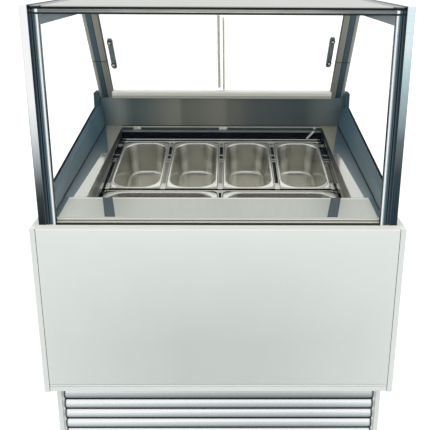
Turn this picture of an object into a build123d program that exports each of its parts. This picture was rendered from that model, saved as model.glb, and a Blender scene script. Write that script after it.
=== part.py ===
from build123d import *

import os
from math import cos, radians, sin, tan

# Ice cream display freezer, in millimetres.
# X runs across the front, +Y towards the operator at the rear, +Z up.
# The origin is on the floor, below the middle of the cabinet.

# Overall sizes
overall_width = 1030.0
overall_depth = 850.0
foot_height = 55.0
plinth_height = 223.0
deck_height = 858.0
canopy_height = 591.0

# Sheet, gaps and clearances
sheet = 1.5
panel_gap = 1.5
seat_gap = 0.3
rear_proud = 2.5

# Base
foot_pad_radius = 22.0
foot_pad_height = 12.0
foot_stem_radius = 6.0
foot_nut_across = 19.0
foot_nut_height = 8.0
foot_inset = 70.0
tray_sheet = 2.0
tray_lip = 26.0
post_tube = 30.0
post_wall = 2.0
plinth_inset = 25.0
plinth_setback = 33.0
plinth_flange = 13.0
plinth_overlap = 52.0
bracket_width = 7.0
bracket_depth = 14.0
bracket_setback = 6.0

# Louvre grille
slat_count = 6
slat_gap = 2.2
slat_bulge = 11.0
slat_thickness = 2.0
slat_lap = 14.2

# Front and end panels
front_panel_depth = 22.0
sill_rise = 8.0
sill_run = 9.5
sill_depth = 24.5
trim_height = 22.0
trim_groove_height = 15.0
trim_groove = 1.5
trim_groove_depth = 3.0
end_panel_thickness = 15.5
end_panel_drop = 3.0
edge_radius = 2.0

# Tub and well
tub_height = 266.0
tub_floor = 58.5
rear_wall_depth = 37.0
rear_ledge = 10.0
pipe_hole_radius = 24.0
drain_radius = 11.0
drain_bore = 8.0
drain_clearance = 1.0
drain_tail = 30.0

# Deck
deck_tilt = 5.0
deck_above_panel = 62.0
deck_inset = 17.0
deck_lip = 12.0
wall_thickness = 14.0
wall_front_flare = 6.3
wall_rear_flare = 13.5
wall_rise = 0.15
wall_above_deck = 56.0
seal_rise = 0.5

# Pans and their frame
pan_tilt = 8.9
pan_drop = 51.0
pan_length = 360.0
pan_width = 165.0
pan_depth = 120.0
pan_rim = 10.0
pan_rim_radius = 18.0
pan_corner = 58.0
pan_bottom_slope = 12.0
pan_taper = 5.0
pan_sheet = 1.0
back_pan_gap = 21.0
front_pan_gap = 20.0
row_gap = 26.0
frame_side = 18.0
frame_front_bar = 12.6
frame_rear_bar = 33.4
ledge_share = 0.66
pan_frame_depth = 12.0
pan_frame_rise = 0.7
pocket_gap = 1.5
opening_gap = 4.0
channel_width = 12.0
channel_depth = 8.0

# Canopy
frame_width = 21.0
shoulder_width = 9.5
frame_front_setback = 10.0
post_depth = 45.0
top_rail_height = 56.0
rear_post_depth = 30.0
lean = 34.0
lean_setback = 51.0
riser_setback = 56.0
side_glass_thickness = 6.0
glazing_bar_width = 27.0
glazing_bar_depth = 7.5
glazing_rib = 2.0
bead_radius = 4.5
front_glass_thickness = 6.0
front_glass_setback = 4.0
gasket_height = 4.5
front_rail_height = 14.0
front_rail_depth = 22.0
front_rail_bull = 5.0
rail_shadow = 2.0
front_rail_recess = 3.5
top_panel_sheet = 5.0
top_panel_drop = 2.0
rear_rail_width = 109.0

# Rear sliding doors
rear_post_width = 50.0
rear_post_web = 20.0
rear_post_flange = 3.5
rear_rail_nose = 4.8
track_above_deck = 170.0
track_height = 26.5
track_depth = 48.0
track_setback = 57.0
track_lip = 6.0
track_groove = 1.5
door_glass = 5.0
door_slot_gap = 0.3
inner_door_set = 6.5
inner_slot_floor = -6.0
outer_door_set = 18.5
outer_slot_floor = -14.0
door_head = 7.3
door_engagement = 7.0
door_overlap_left = 10.5
door_overlap_right = 13.0
strip_width = 7.0
strip_wall = 1.1
strip_low = 8.0
strip_gap = 20.7
handle_inset = 23.0
handle_rise = 0.47
handle_span = 103.0
handle_end = 19.0
handle_width = 19.0
handle_thickness = 7.0
handle_standoff = 5.0
handle_boss_radius = 8.5
handle_chamfer = 1.5

# Air outlet
outlet_face = 15.5
outlet_lip_run = 9.0
outlet_lip_drop = 5.0
clip_width = 6.0
clip_thickness = 2.0
clip_x = 352.0
clip_drop = 24.0

# Controls
control_gap = 2.0
control_height = 82.0
cover_bottom = 70.0
cover_gap = 4.0
cover_slot_length = 260.0
cover_slot_height = 8.0
cover_slot_rows = 7
cover_slot_pitch = 38.0
controller_offset = 120.0
controller_width = 71.0
controller_height = 29.0
controller_depth = 58.0
controller_bezel = 4.0
switch_inset = 217.0
switch_width = 22.0
switch_height = 30.0
switch_depth = 20.0
switch_bezel = 2.5
rocker_clearance = 0.8
rocker_throw = 8.0
rocker_pin_radius = 1.5
gland_inset = 107.0
gland_z = 110.0
gland_radius = 13.0
gland_bore = 4.0

# Refrigeration
evaporator_width = 660.0
evaporator_depth = 300.0
evaporator_height = 40.0
evaporator_setback = 68.0
evaporator_fins = 34
fin_thickness = 1.0
tube_radius = 5.0
bulkhead_setback = 184.0
bulkhead_height = 112.0
bulkhead_sheet = 2.0
small_fan_radius = 48.0
small_hub_radius = 18.0
small_motor_radius = 22.0
small_motor_length = 40.0
compressor_x = -240.0
compressor_setback = 231.0
compressor_radius = 88.0
compressor_height = 190.0
condenser_x = 170.0
condenser_width = 420.0
condenser_height = 270.0
condenser_depth = 60.0
condenser_setback = 32.0
condenser_fins = 30
shroud_depth = 30.0
large_fan_radius = 112.0
large_hub_radius = 34.0
large_motor_radius = 42.0
large_motor_length = 70.0
fan_depth = 22.0
fan_blades = 5
blade_thickness = 2.0
blade_pitch = 28.0
shaft_radius = 4.0
shaft_length = 14.0
suction_radius = 6.0
liquid_radius = 4.0
drier_radius = 13.0
drier_length = 90.0
drier_clearance = 40.0

# Widths that follow from the sizes above
half_width = overall_width / 2
end_panel_inner = half_width - end_panel_thickness
front_panel_half = end_panel_inner - panel_gap
frame_outer_half = end_panel_inner - shoulder_width
frame_inner_half = frame_outer_half - frame_width
bar_half = frame_inner_half - glazing_bar_width
rear_post_inner = frame_inner_half - rear_post_width
handle_x = rear_post_inner - handle_inset
deck_half_width = frame_inner_half - deck_inset
wall_foot_half_width = frame_inner_half - wall_thickness
plinth_half = half_width - plinth_inset
tray_half = plinth_half - sheet
slat_half = plinth_half - plinth_flange - bracket_width
cover_half = tray_half - sheet
switch_x = cover_half - switch_inset
controller_x = switch_x - controller_offset
gland_x = gland_inset - cover_half
pan_pitch = pan_width + back_pan_gap
front_pan_x = (pan_length + front_pan_gap) / 2
well_half_width = max(2 * pan_pitch, front_pan_x + pan_length / 2) + frame_side

# Heights that follow
panel_bottom = foot_height + plinth_height
panel_top = deck_height - deck_above_panel
panel_height = panel_top - panel_bottom
sill_top = panel_top + sill_rise
canopy_top = panel_top + canopy_height
slat_top = panel_bottom + slat_lap
slat_pitch = (slat_top - foot_height - tray_lip) / slat_count
slat_height = slat_pitch - slat_gap
tub_bottom = panel_top - tub_height
tub_shoulder = panel_top - sheet
liner_floor = tub_bottom + tub_floor + sheet
wall_height = deck_height + wall_above_deck
pan_height = deck_height - pan_drop
track_top = deck_height + track_above_deck
track_seat = track_top - track_height
rear_wall_top = track_seat - sheet
lean_foot_z = track_top - track_lip
side_rail_z = canopy_top - top_rail_height
top_z = canopy_top - top_panel_drop
front_rail_top = top_z - top_panel_sheet - rail_shadow
front_rail_z = front_rail_top - front_rail_height
control_top = tub_bottom - control_gap

# Depths that follow
front_y = -overall_depth / 2
rear_y = overall_depth / 2
panel_back = front_y + front_panel_depth
sill_back = front_y + sill_depth
rear_skin = rear_y - rear_proud
tub_rear = rear_skin - sheet
plinth_y = front_y + plinth_setback
tray_front = plinth_y + bracket_setback + bracket_depth
rear_wall_front = tub_rear - rear_wall_depth
pan_cos = cos(radians(pan_tilt))
pan_frame_length = frame_front_bar + pan_width + row_gap + pan_length + frame_rear_bar
well_rear = rear_wall_front - rear_ledge
well_front = sill_back + ledge_share * (well_rear - sill_back - pan_frame_length * pan_cos)
pan_frame_front = (well_front + seat_gap) / pan_cos
pan_frame_rear = pan_frame_front + pan_frame_length
front_row_rear = pan_frame_front + frame_front_bar + pan_width
back_row_front = front_row_rear + row_gap
frame_front = front_y + frame_front_setback
post_back = frame_front + post_depth
lean_foot_y = tub_rear - lean_setback
riser_y = tub_rear - riser_setback
track_front = tub_rear - track_setback
track_rear = track_front + track_depth
bulkhead_y = well_rear - bulkhead_setback
evaporator_front = well_front + evaporator_setback
compressor_y = tub_rear - compressor_setback
condenser_front = tray_front + condenser_setback

# Slopes and sloping planes
deck_slope = tan(radians(deck_tilt))
deck_under_drop = sheet / cos(radians(deck_tilt))
lean_tan = tan(radians(lean))
deck_plane = Plane(
    origin=(0, 0, deck_height),
    x_dir=(1, 0, 0),
    z_dir=(0, -sin(radians(deck_tilt)), cos(radians(deck_tilt))),
)
pan_plane = Plane(
    origin=(0, 0, pan_height),
    x_dir=(1, 0, 0),
    z_dir=(0, -sin(radians(pan_tilt)), cos(radians(pan_tilt))),
)
# The door plane's Y runs up the doors and its Z points into the display.
door_plane = Plane(
    origin=(0, lean_foot_y, lean_foot_z),
    x_dir=(1, 0, 0),
    z_dir=(0, -cos(radians(lean)), -sin(radians(lean))),
)

os.makedirs("parts", exist_ok=True)


def write(part, name):
    """Label one piece, or one group of like pieces, and write its STEP file."""
    part.label = name
    export_step(part, f"parts/{name}.step")


def write_pair(part, name):
    """Write a left-hand piece and its mirror image on the right."""
    with BuildPart() as twin:
        mirror(part, about=Plane.YZ)
    write(part, f"left_{name}")
    write(twin.part, f"right_{name}")


def deck_z(y):
    """Height of the deck's upper face at a given depth."""
    return deck_height + y * deck_slope


def wall_z(y):
    """Height of the side walls' upper edge at a given depth."""
    return wall_height + y * wall_rise


def lean_y(z):
    """Depth of the rear posts' front face at a given height."""
    return lean_foot_y - (z - lean_foot_z) * lean_tan


def lean_up(z):
    """Distance up the rear posts' front face to a given height."""
    return (z - lean_foot_z) / cos(radians(lean))


def along(plane, station):
    """Section plane across a sloping plane: X across, Y along its normal, looking down the slope."""
    origin = plane.from_local_coords((0, station, 0))
    return Plane(origin=origin, x_dir=(1, 0, 0), z_dir=plane.y_dir * -1)


def slope_section(plane):
    """Section plane along a slope: X up the slope, Y along the plane's normal."""
    return Plane(origin=plane.origin, x_dir=plane.y_dir, z_dir=(1, 0, 0))


# Levelling feet: pad, stem and lock nut
with BuildPart() as foot:
    with BuildSketch(Plane.XZ):
        with BuildLine():
            Polyline(
                (0, 0),
                (foot_pad_radius, 0),
                (foot_pad_radius, foot_pad_height / 2),
                (foot_stem_radius, foot_pad_height),
                (foot_stem_radius, foot_height),
                (0, foot_height),
                close=True,
            )
        make_face()
    revolve(axis=Axis.Z)
    with BuildSketch(Plane.XY.offset(foot_height - foot_nut_height)):
        RegularPolygon(foot_nut_across / 2, 6, major_radius=False)
    extrude(amount=foot_nut_height)

foot_x = tray_half - foot_inset
foot_front = tray_front + foot_inset
foot_rear = tub_rear - foot_inset
with BuildPart() as levelling_feet:
    with Locations(
        (-foot_x, foot_front), (foot_x, foot_front), (-foot_x, foot_rear), (foot_x, foot_rear)
    ):
        add(foot.part)
write(levelling_feet.part, "levelling_feet")

# Base frame: a folded tray with four square tube posts that carry the tub
tray_middle = (tray_front + tub_rear) / 2
tray_depth = tub_rear - tray_front
post_x = tray_half - tray_sheet - post_tube / 2
with BuildPart() as base_frame:
    with BuildSketch(Plane.XY.offset(foot_height)):
        with Locations((0, tray_middle)):
            Rectangle(2 * tray_half, tray_depth)
    extrude(amount=tray_lip)
    offset(amount=-tray_sheet, openings=base_frame.faces().sort_by(Axis.Z)[-1])
    with BuildSketch(Plane.XY.offset(foot_height + tray_sheet)):
        with Locations((0, tray_middle)):
            with GridLocations(2 * post_x, tray_depth - post_tube, 2, 2):
                Rectangle(post_tube, post_tube)
                Rectangle(post_tube - 2 * post_wall, post_tube - 2 * post_wall, mode=Mode.SUBTRACT)
    extrude(amount=tub_bottom - foot_height - tray_sheet)
write(base_frame.part, "base_frame")

# Plinth panels: one folded sheet each, with a front flange and a recessed louvre bracket
with BuildPart() as plinth_panel:
    with BuildSketch(Plane.XY.offset(foot_height)):
        with BuildLine():
            Polyline(
                (-plinth_half + sheet / 2, tub_rear),
                (-plinth_half + sheet / 2, plinth_y + sheet / 2),
                (-plinth_half + plinth_flange - sheet / 2, plinth_y + sheet / 2),
                (-plinth_half + plinth_flange - sheet / 2, tray_front),
            )
        trace(line_width=sheet)
        with Locations((-slat_half - bracket_width / 2, tray_front - bracket_depth / 2)):
            Rectangle(bracket_width, bracket_depth)
    extrude(amount=plinth_height + plinth_overlap)
write_pair(plinth_panel.part, "plinth_panel")

# Louvre slats: bowed strips with a rounded front
slat_back = plinth_y + slat_bulge
with BuildPart() as louvre_slats:
    for row in range(slat_count):
        top = slat_top - row * slat_pitch
        bottom = top - slat_height
        crown = top - 0.45 * slat_height
        with BuildSketch(Plane.YZ):
            with BuildLine():
                ThreePointArc(
                    (slat_back, top),
                    (plinth_y, crown),
                    (slat_back - slat_bulge / 2, bottom),
                )
                ThreePointArc(
                    (slat_back + slat_thickness, top),
                    (plinth_y + slat_thickness, crown),
                    (slat_back - slat_bulge / 2 + slat_thickness, bottom),
                )
                Line((slat_back, top), (slat_back + slat_thickness, top))
                Line(
                    (slat_back - slat_bulge / 2, bottom),
                    (slat_back - slat_bulge / 2 + slat_thickness, bottom),
                )
            make_face()
        extrude(amount=slat_half, both=True)
write(louvre_slats.part, "louvre_slats")

# Front panel: folded sheet with a sloping sill, closed at both ends
trim_top = panel_bottom + trim_height
panel_foot = trim_top + panel_gap
with BuildPart() as front_panel:
    with BuildSketch(Plane.YZ):
        with BuildLine():
            Polyline(
                (panel_back, panel_foot + sheet / 2),
                (front_y + sheet / 2, panel_foot + sheet / 2),
                (front_y + sheet / 2, panel_top - sheet / 4),
                (front_y + sill_run, sill_top - sheet / 2),
                (sill_back, sill_top - sheet / 2),
            )
        trace(line_width=sheet)
    extrude(amount=front_panel_half, both=True)
    with BuildSketch(Plane.YZ.offset(front_panel_half - sheet)):
        with BuildLine():
            Polyline(
                (panel_back, panel_foot),
                (front_y + sheet / 2, panel_foot),
                (front_y + sheet / 2, panel_top - sheet / 4),
                (front_y + sill_run, sill_top - sheet / 2),
                (panel_back, sill_top - sheet / 2),
                close=True,
            )
        make_face()
    extrude(amount=sheet)
    mirror(about=Plane.YZ)
write(front_panel.part, "front_panel")

# Front trim: a grooved strip under the panel with a recessed tongue
with BuildPart() as front_trim:
    with BuildSketch(Plane.YZ):
        with BuildLine():
            Polyline(
                (panel_back, panel_bottom),
                (front_y, panel_bottom),
                (front_y, panel_bottom + trim_groove_height),
                (front_y + trim_groove_depth, panel_bottom + trim_groove_height),
                (front_y + trim_groove_depth, panel_bottom + trim_groove_height + trim_groove),
                (front_y, panel_bottom + trim_groove_height + trim_groove),
                (front_y, trim_top),
                (front_y + 2 * trim_groove_depth, trim_top),
                (front_y + 2 * trim_groove_depth, panel_foot),
                (panel_back, panel_foot),
                close=True,
            )
        make_face()
    extrude(amount=front_panel_half, both=True)
write(front_trim.part, "front_trim")

# End panels: sandwich panels with a lip over the tub's shoulder
with BuildPart() as end_panel:
    with BuildSketch(Plane.XY.offset(panel_bottom - end_panel_drop)):
        with Locations((-half_width, front_y)):
            Rectangle(end_panel_thickness, rear_skin - front_y, align=(Align.MIN, Align.MIN))
    extrude(amount=panel_height + end_panel_drop)
    fillet(end_panel.edges().filter_by(Axis.Z).sort_by(Axis.X)[:2], edge_radius)
    with BuildSketch(Plane.XY.offset(tub_shoulder)):
        with Locations((-end_panel_inner, panel_back + seat_gap)):
            Rectangle(
                end_panel_inner - frame_outer_half,
                tub_rear - panel_back - seat_gap,
                align=(Align.MIN, Align.MIN),
            )
    extrude(amount=sheet)
write_pair(end_panel.part, "end_panel")

pipe_x = 1.4 * pipe_hole_radius - well_half_width
pipe_y = evaporator_front + evaporator_depth - 2 * pipe_hole_radius
pipe_spot = (pipe_x, pipe_y)
drain_spot = (well_half_width - 60, well_front + 60)

# Insulated tub: foamed body, with the wedge under the deck and the rear parapet
with BuildPart() as insulated_tub:
    with BuildSketch(Plane.XY.offset(tub_bottom)):
        with Locations((0, (panel_back + tub_rear) / 2)):
            Rectangle(2 * end_panel_inner, tub_rear - panel_back)
    extrude(amount=tub_shoulder - tub_bottom)
    with BuildSketch(Plane.YZ):
        with BuildLine():
            Polyline(
                (sill_back, tub_shoulder),
                (sill_back, deck_z(sill_back) - deck_under_drop),
                (rear_wall_front + sheet, deck_z(rear_wall_front + sheet) - deck_under_drop),
                (rear_wall_front + sheet, rear_wall_top),
                (tub_rear, rear_wall_top),
                (tub_rear, tub_shoulder),
                close=True,
            )
        make_face()
    extrude(amount=frame_inner_half, both=True)
    with BuildSketch(Plane.XY.offset(liner_floor - sheet)):
        with Locations((0, (well_front + well_rear) / 2)):
            Rectangle(2 * (well_half_width + sheet), well_rear - well_front + 2 * sheet)
    extrude(amount=canopy_top, mode=Mode.SUBTRACT)
    with BuildSketch(Plane.XY.offset(tub_bottom)):
        with Locations(pipe_spot):
            Circle(pipe_hole_radius)
        with Locations(drain_spot):
            Circle(drain_radius + drain_clearance)
    extrude(amount=tub_floor, mode=Mode.SUBTRACT)
write(insulated_tub.part, "insulated_tub")

# Tub liner: thin stainless tank with a drain spigot, cut off below the deck's lips
with BuildPart() as tub_liner:
    with BuildSketch(Plane.XY.offset(liner_floor - sheet)):
        with Locations((0, (well_front + well_rear) / 2)):
            Rectangle(2 * (well_half_width + sheet), well_rear - well_front + 2 * sheet)
    extrude(amount=panel_height)
    offset(amount=-sheet, openings=tub_liner.faces().sort_by(Axis.Z)[-1])
    split(bisect_by=deck_plane.offset(-deck_lip - 2 * sheet), keep=Keep.BOTTOM)
    with BuildSketch(Plane.XY.offset(liner_floor)):
        with Locations(drain_spot):
            Circle(drain_radius)
    extrude(amount=-tub_floor - drain_tail)
    with BuildSketch(Plane.XY.offset(liner_floor)):
        with Locations(drain_spot):
            Circle(drain_bore)
    extrude(amount=-tub_floor - drain_tail, mode=Mode.SUBTRACT)
    with BuildSketch(Plane.XY.offset(liner_floor)):
        with Locations(pipe_spot):
            Circle(pipe_hole_radius)
    extrude(amount=-sheet, mode=Mode.SUBTRACT)
write(tub_liner.part, "tub_liner")

# Rear panel behind the tub and the parapet
with BuildPart() as rear_panel:
    with BuildSketch(Plane.XZ.offset(-tub_rear)):
        with Locations((0, (tub_bottom + panel_top) / 2)):
            Rectangle(2 * end_panel_inner, panel_top - tub_bottom)
        with Locations((0, (panel_top + rear_wall_top) / 2)):
            Rectangle(2 * frame_outer_half, rear_wall_top - panel_top)
    extrude(amount=-sheet)
write(rear_panel.part, "rear_panel")

# Rear cover over the machine space, with rows of air slots
cover_top = control_top - control_height - cover_gap
slot_field = (cover_bottom + cover_top) / 2
with BuildPart() as rear_cover:
    with BuildSketch(Plane.XZ.offset(-tub_rear)):
        with Locations((0, slot_field)):
            Rectangle(2 * cover_half, cover_top - cover_bottom)
            with GridLocations(1.4 * cover_slot_length, cover_slot_pitch, 2, cover_slot_rows):
                Rectangle(cover_slot_length, cover_slot_height, mode=Mode.SUBTRACT)
        with Locations((gland_x, gland_z)):
            Circle(gland_radius * 0.6, mode=Mode.SUBTRACT)
    extrude(amount=-sheet)
write(rear_cover.part, "rear_cover")

# Cable gland: flanged sleeve with a lock nut behind the cover
gland_sleeve = gland_radius * 0.6
with BuildPart() as cable_gland:
    with BuildSketch(Plane.XZ.offset(-rear_skin)):
        with Locations((gland_x, gland_z)):
            RegularPolygon(gland_radius, 6)
            Circle(gland_bore, mode=Mode.SUBTRACT)
    extrude(amount=-rear_proud)
    with BuildSketch(Plane.XZ.offset(-rear_skin)):
        with Locations((gland_x, gland_z)):
            Circle(gland_sleeve)
            Circle(gland_bore, mode=Mode.SUBTRACT)
    extrude(amount=4 * sheet)
    with BuildSketch(Plane.XZ.offset(-tub_rear)):
        with Locations((gland_x, gland_z)):
            RegularPolygon(gland_radius, 6)
            Circle(gland_bore, mode=Mode.SUBTRACT)
    extrude(amount=3 * sheet)
write(cable_gland.part, "cable_gland")

# Control panel strip with cut-outs for the controller and the switch
control_z = control_top - control_height / 2
with BuildPart() as control_panel:
    with BuildSketch(Plane.XZ.offset(-tub_rear)):
        with Locations((0, control_z)):
            Rectangle(2 * cover_half, control_height)
        with Locations((controller_x, control_z)):
            Rectangle(controller_width, controller_height, mode=Mode.SUBTRACT)
        with Locations((switch_x, control_z)):
            Rectangle(switch_width, switch_height, mode=Mode.SUBTRACT)
    extrude(amount=-sheet)
write(control_panel.part, "control_panel")

# Temperature controller: snap-in body and bezel with a window and three touch pads
with BuildPart() as temperature_controller:
    with BuildSketch(Plane.XZ.offset(-rear_skin)):
        with Locations((controller_x, control_z)):
            Rectangle(controller_width, controller_height)
    extrude(amount=controller_depth)
    with BuildSketch(Plane.XZ.offset(-rear_skin)):
        with Locations((controller_x, control_z)):
            RectangleRounded(
                controller_width + 2 * controller_bezel, controller_height + 2 * controller_bezel, 3
            )
    extrude(amount=-rear_proud)
    with BuildSketch(Plane.XZ.offset(-rear_y)):
        with Locations((controller_x - controller_width / 6, control_z)):
            Rectangle(controller_width / 2, controller_height / 2)
        with Locations((controller_x + controller_width / 3, control_z)):
            with GridLocations(0, controller_height / 3, 1, 3):
                SlotOverall(controller_height / 3, controller_height / 6)
    extrude(amount=rear_proud / 4, mode=Mode.SUBTRACT)
write(temperature_controller.part, "temperature_controller")

# Switch body: a snap-in case with an open pocket and a pivot pin for the rocker
rocker_y = tub_rear - sheet
with BuildPart() as switch_body:
    with BuildSketch(Plane.XZ.offset(-rear_skin)):
        with Locations((switch_x, control_z)):
            Rectangle(switch_width, switch_height)
    extrude(amount=switch_depth)
    with BuildSketch(Plane.XZ.offset(-rear_skin)):
        with Locations((switch_x, control_z)):
            RectangleRounded(switch_width + 2 * switch_bezel, switch_height + 2 * switch_bezel, 2)
    extrude(amount=-rear_proud / 2)
    with BuildSketch(Plane.XZ.offset(-rear_y)):
        with Locations((switch_x, control_z)):
            Rectangle(switch_width - 2 * switch_bezel, switch_height - 2 * switch_bezel)
    extrude(amount=rear_proud + switch_depth - 2 * switch_bezel, mode=Mode.SUBTRACT)
    with BuildSketch(Plane.YZ.offset(switch_x)):
        with Locations((rocker_y, control_z)):
            Circle(rocker_pin_radius)
    extrude(amount=switch_width / 2, both=True)
write(switch_body.part, "switch_body")

# Power switch: a rocker with a shallow V face, resting with its upper end pressed in
rocker_half = switch_height / 2 - switch_bezel - rocker_clearance
rocker_width = switch_width - 2 * switch_bezel - 2 * rocker_clearance
rocker_face = rear_skin + rear_proud / 4
with BuildPart() as rocker:
    with BuildSketch(Plane.YZ.offset(switch_x)):
        with BuildLine():
            Polyline(
                (rocker_y - rocker_half / 2, control_z - rocker_half / 3),
                (rocker_y, control_z - rocker_half + rocker_clearance),
                (rocker_face, control_z - rocker_half + rocker_clearance),
                (rocker_face - rocker_clearance, control_z),
                (rocker_face, control_z + rocker_half - rocker_clearance),
                (rocker_y, control_z + rocker_half - rocker_clearance),
                (rocker_y - rocker_half / 2, control_z + rocker_half / 3),
                close=True,
            )
        make_face()
        with Locations((rocker_y, control_z)):
            Circle(rocker_pin_radius + seat_gap, mode=Mode.SUBTRACT)
    extrude(amount=rocker_width / 2, both=True)
rocker_axis = Axis((switch_x, rocker_y, control_z), (1, 0, 0))
with BuildPart() as power_switch:
    add(rocker.part.rotate(rocker_axis, rocker_throw))
write(power_switch.part, "power_switch")

# Front ledge: polished sheet behind the front glass, lipped at both edges
ledge_front = sill_back - sheet / 2
with BuildPart() as front_ledge:
    with BuildSketch(Plane.YZ):
        with BuildLine():
            Polyline(
                (ledge_front, sill_top),
                (ledge_front, deck_z(ledge_front) - deck_under_drop / 2),
                (well_front + sheet, deck_z(well_front + sheet) - deck_under_drop / 2),
            )
        trace(line_width=sheet)
    extrude(amount=deck_half_width, both=True)
    with BuildSketch(Plane.YZ):
        with Locations((well_front, deck_z(well_front) - deck_lip)):
            Rectangle(sheet, deck_lip - sheet / 2, align=(Align.MIN, Align.MIN))
    extrude(amount=well_half_width - 2 * sheet, both=True)
write(front_ledge.part, "front_ledge")

# Side decks: polished strips beside the well, lipped towards the pans
deck_cos = cos(radians(deck_tilt))
side_deck_front = (well_front + 2 * sheet) / deck_cos
side_deck_rear = (rear_wall_front - panel_gap) / deck_cos
side_lip_rear = (well_rear - panel_gap) / deck_cos
with BuildPart() as side_decks:
    with BuildSketch(along(deck_plane, side_deck_rear)):
        with Locations((well_half_width - sheet, 0)):
            Rectangle(
                deck_half_width - well_half_width + sheet, sheet, align=(Align.MIN, Align.MAX)
            )
    extrude(amount=side_deck_rear - side_deck_front)
    with BuildSketch(along(deck_plane, side_lip_rear)):
        with Locations((well_half_width - sheet, 0)):
            Rectangle(sheet, deck_lip, align=(Align.MIN, Align.MAX))
    extrude(amount=side_lip_rear - side_deck_front)
    mirror(about=Plane.YZ)
write(side_decks.part, "side_decks")

# Coamings: foam-backed side walls under the side glass, flared and rising to the rear
with BuildPart() as coaming:
    with BuildSketch(Plane.YZ.offset(-frame_outer_half)):
        with BuildLine():
            Polyline(
                (post_back, tub_shoulder),
                (post_back, wall_z(post_back)),
                (riser_y, wall_z(riser_y)),
                (riser_y, lean_foot_z),
                (tub_rear, lean_foot_z),
                (tub_rear, tub_shoulder),
                close=True,
            )
        make_face()
    extrude(amount=frame_width)
    for y, flare in (
        (sill_back + sheet, wall_front_flare),
        (rear_wall_front - seat_gap, wall_rear_flare),
    ):
        with BuildSketch(Plane.XZ.offset(-y)):
            with BuildLine():
                Polyline(
                    (-wall_foot_half_width, deck_z(y) - deck_under_drop),
                    (-wall_foot_half_width - flare, wall_z(y)),
                    (-frame_inner_half, wall_z(y)),
                    (-frame_inner_half, deck_z(y) - deck_under_drop),
                    close=True,
                )
            make_face()
    loft(ruled=True)
write_pair(coaming.part, "coaming")

# Back wall: brushed sheet with a flange over the parapet
with BuildPart() as back_wall:
    with BuildSketch(Plane.YZ):
        with BuildLine():
            Polyline(
                (rear_wall_front + sheet / 2, deck_z(rear_wall_front + sheet) - deck_under_drop),
                (rear_wall_front + sheet / 2, rear_wall_top + sheet / 2),
                (tub_rear, rear_wall_top + sheet / 2),
            )
        trace(line_width=sheet)
    extrude(amount=frame_inner_half, both=True)
write(back_wall.part, "back_wall")

# Air outlet: folded hood along the rear of the well
outlet_half = well_half_width - 2 * sheet
outlet_y = well_rear - sheet / 2
outlet_rear = rear_wall_front - seat_gap
outlet_top = deck_z(outlet_y) - deck_under_drop / 2
with BuildPart() as air_outlet:
    with BuildSketch(Plane.YZ):
        with BuildLine():
            Polyline(
                (outlet_rear, deck_z(outlet_rear) - deck_under_drop / 2),
                (outlet_y, outlet_top),
                (outlet_y, outlet_top - outlet_face),
                (outlet_y - outlet_lip_run, outlet_top - outlet_face - outlet_lip_drop),
                (outlet_y - outlet_lip_run, outlet_top - outlet_face - 2 * outlet_lip_drop),
            )
        trace(line_width=sheet)
    extrude(amount=outlet_half, both=True)
write(air_outlet.part, "air_outlet")

# Probe clip: bent strip hooked on the outlet's lip
clip_y = outlet_y - outlet_lip_run - sheet / 2
clip_z = outlet_top - outlet_face - outlet_lip_drop
with BuildPart() as probe_clip:
    with BuildSketch(Plane.XZ.offset(-clip_y)):
        with BuildLine():
            Polyline(
                (clip_x - 0.9 * clip_drop, clip_z - clip_drop),
                (clip_x, clip_z),
                (clip_x + clip_width, clip_z + clip_width),
            )
        trace(line_width=clip_width)
    extrude(amount=clip_thickness)
write(probe_clip.part, "probe_clip")

# Ice cream pans: drawn steel, tapered, with rounded corners and a flat rim
def pan_form(inset):
    """Tapered pan body with a sloped lower edge, shrunk by a wall thickness."""
    form_length = pan_length - 2 * pan_rim - 2 * inset
    form_width = pan_width - 2 * pan_rim - 2 * inset
    draft = (pan_depth - inset) * tan(radians(pan_taper))
    with BuildPart() as form:
        with BuildSketch(Plane.XY.offset(inset - pan_depth)):
            RectangleRounded(
                form_length - 2 * draft, form_width - 2 * draft, pan_corner - inset - draft
            )
        extrude(amount=pan_depth - inset, taper=-pan_taper)
        chamfer(form.faces().sort_by(Axis.Z)[0].edges(), pan_bottom_slope - inset / 2)
    return form.part


with BuildPart() as pan:
    add(pan_form(0))
    with BuildSketch(Plane.XY.offset(-pan_sheet)):
        RectangleRounded(pan_length, pan_width, pan_rim_radius)
    extrude(amount=pan_sheet)
    add(pan_form(pan_sheet), mode=Mode.SUBTRACT)

back_row_rear = back_row_front + pan_length
back_row_middle = (back_row_front + back_row_rear) / 2
front_row_middle = front_row_rear - pan_width / 2
pan_spots = {
    f"back_pan_{number + 1}": Location(((number - 1.5) * pan_pitch, back_row_middle, 0), (0, 0, 90))
    for number in range(4)
}
pan_spots["front_pan_left"] = Location((-front_pan_x, front_row_middle, 0))
pan_spots["front_pan_right"] = Location((front_pan_x, front_row_middle, 0))
for name, spot in pan_spots.items():
    with BuildPart() as placed_pan:
        add(pan.part.moved(pan_plane.location * spot))
    write(placed_pan.part, name)

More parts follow.
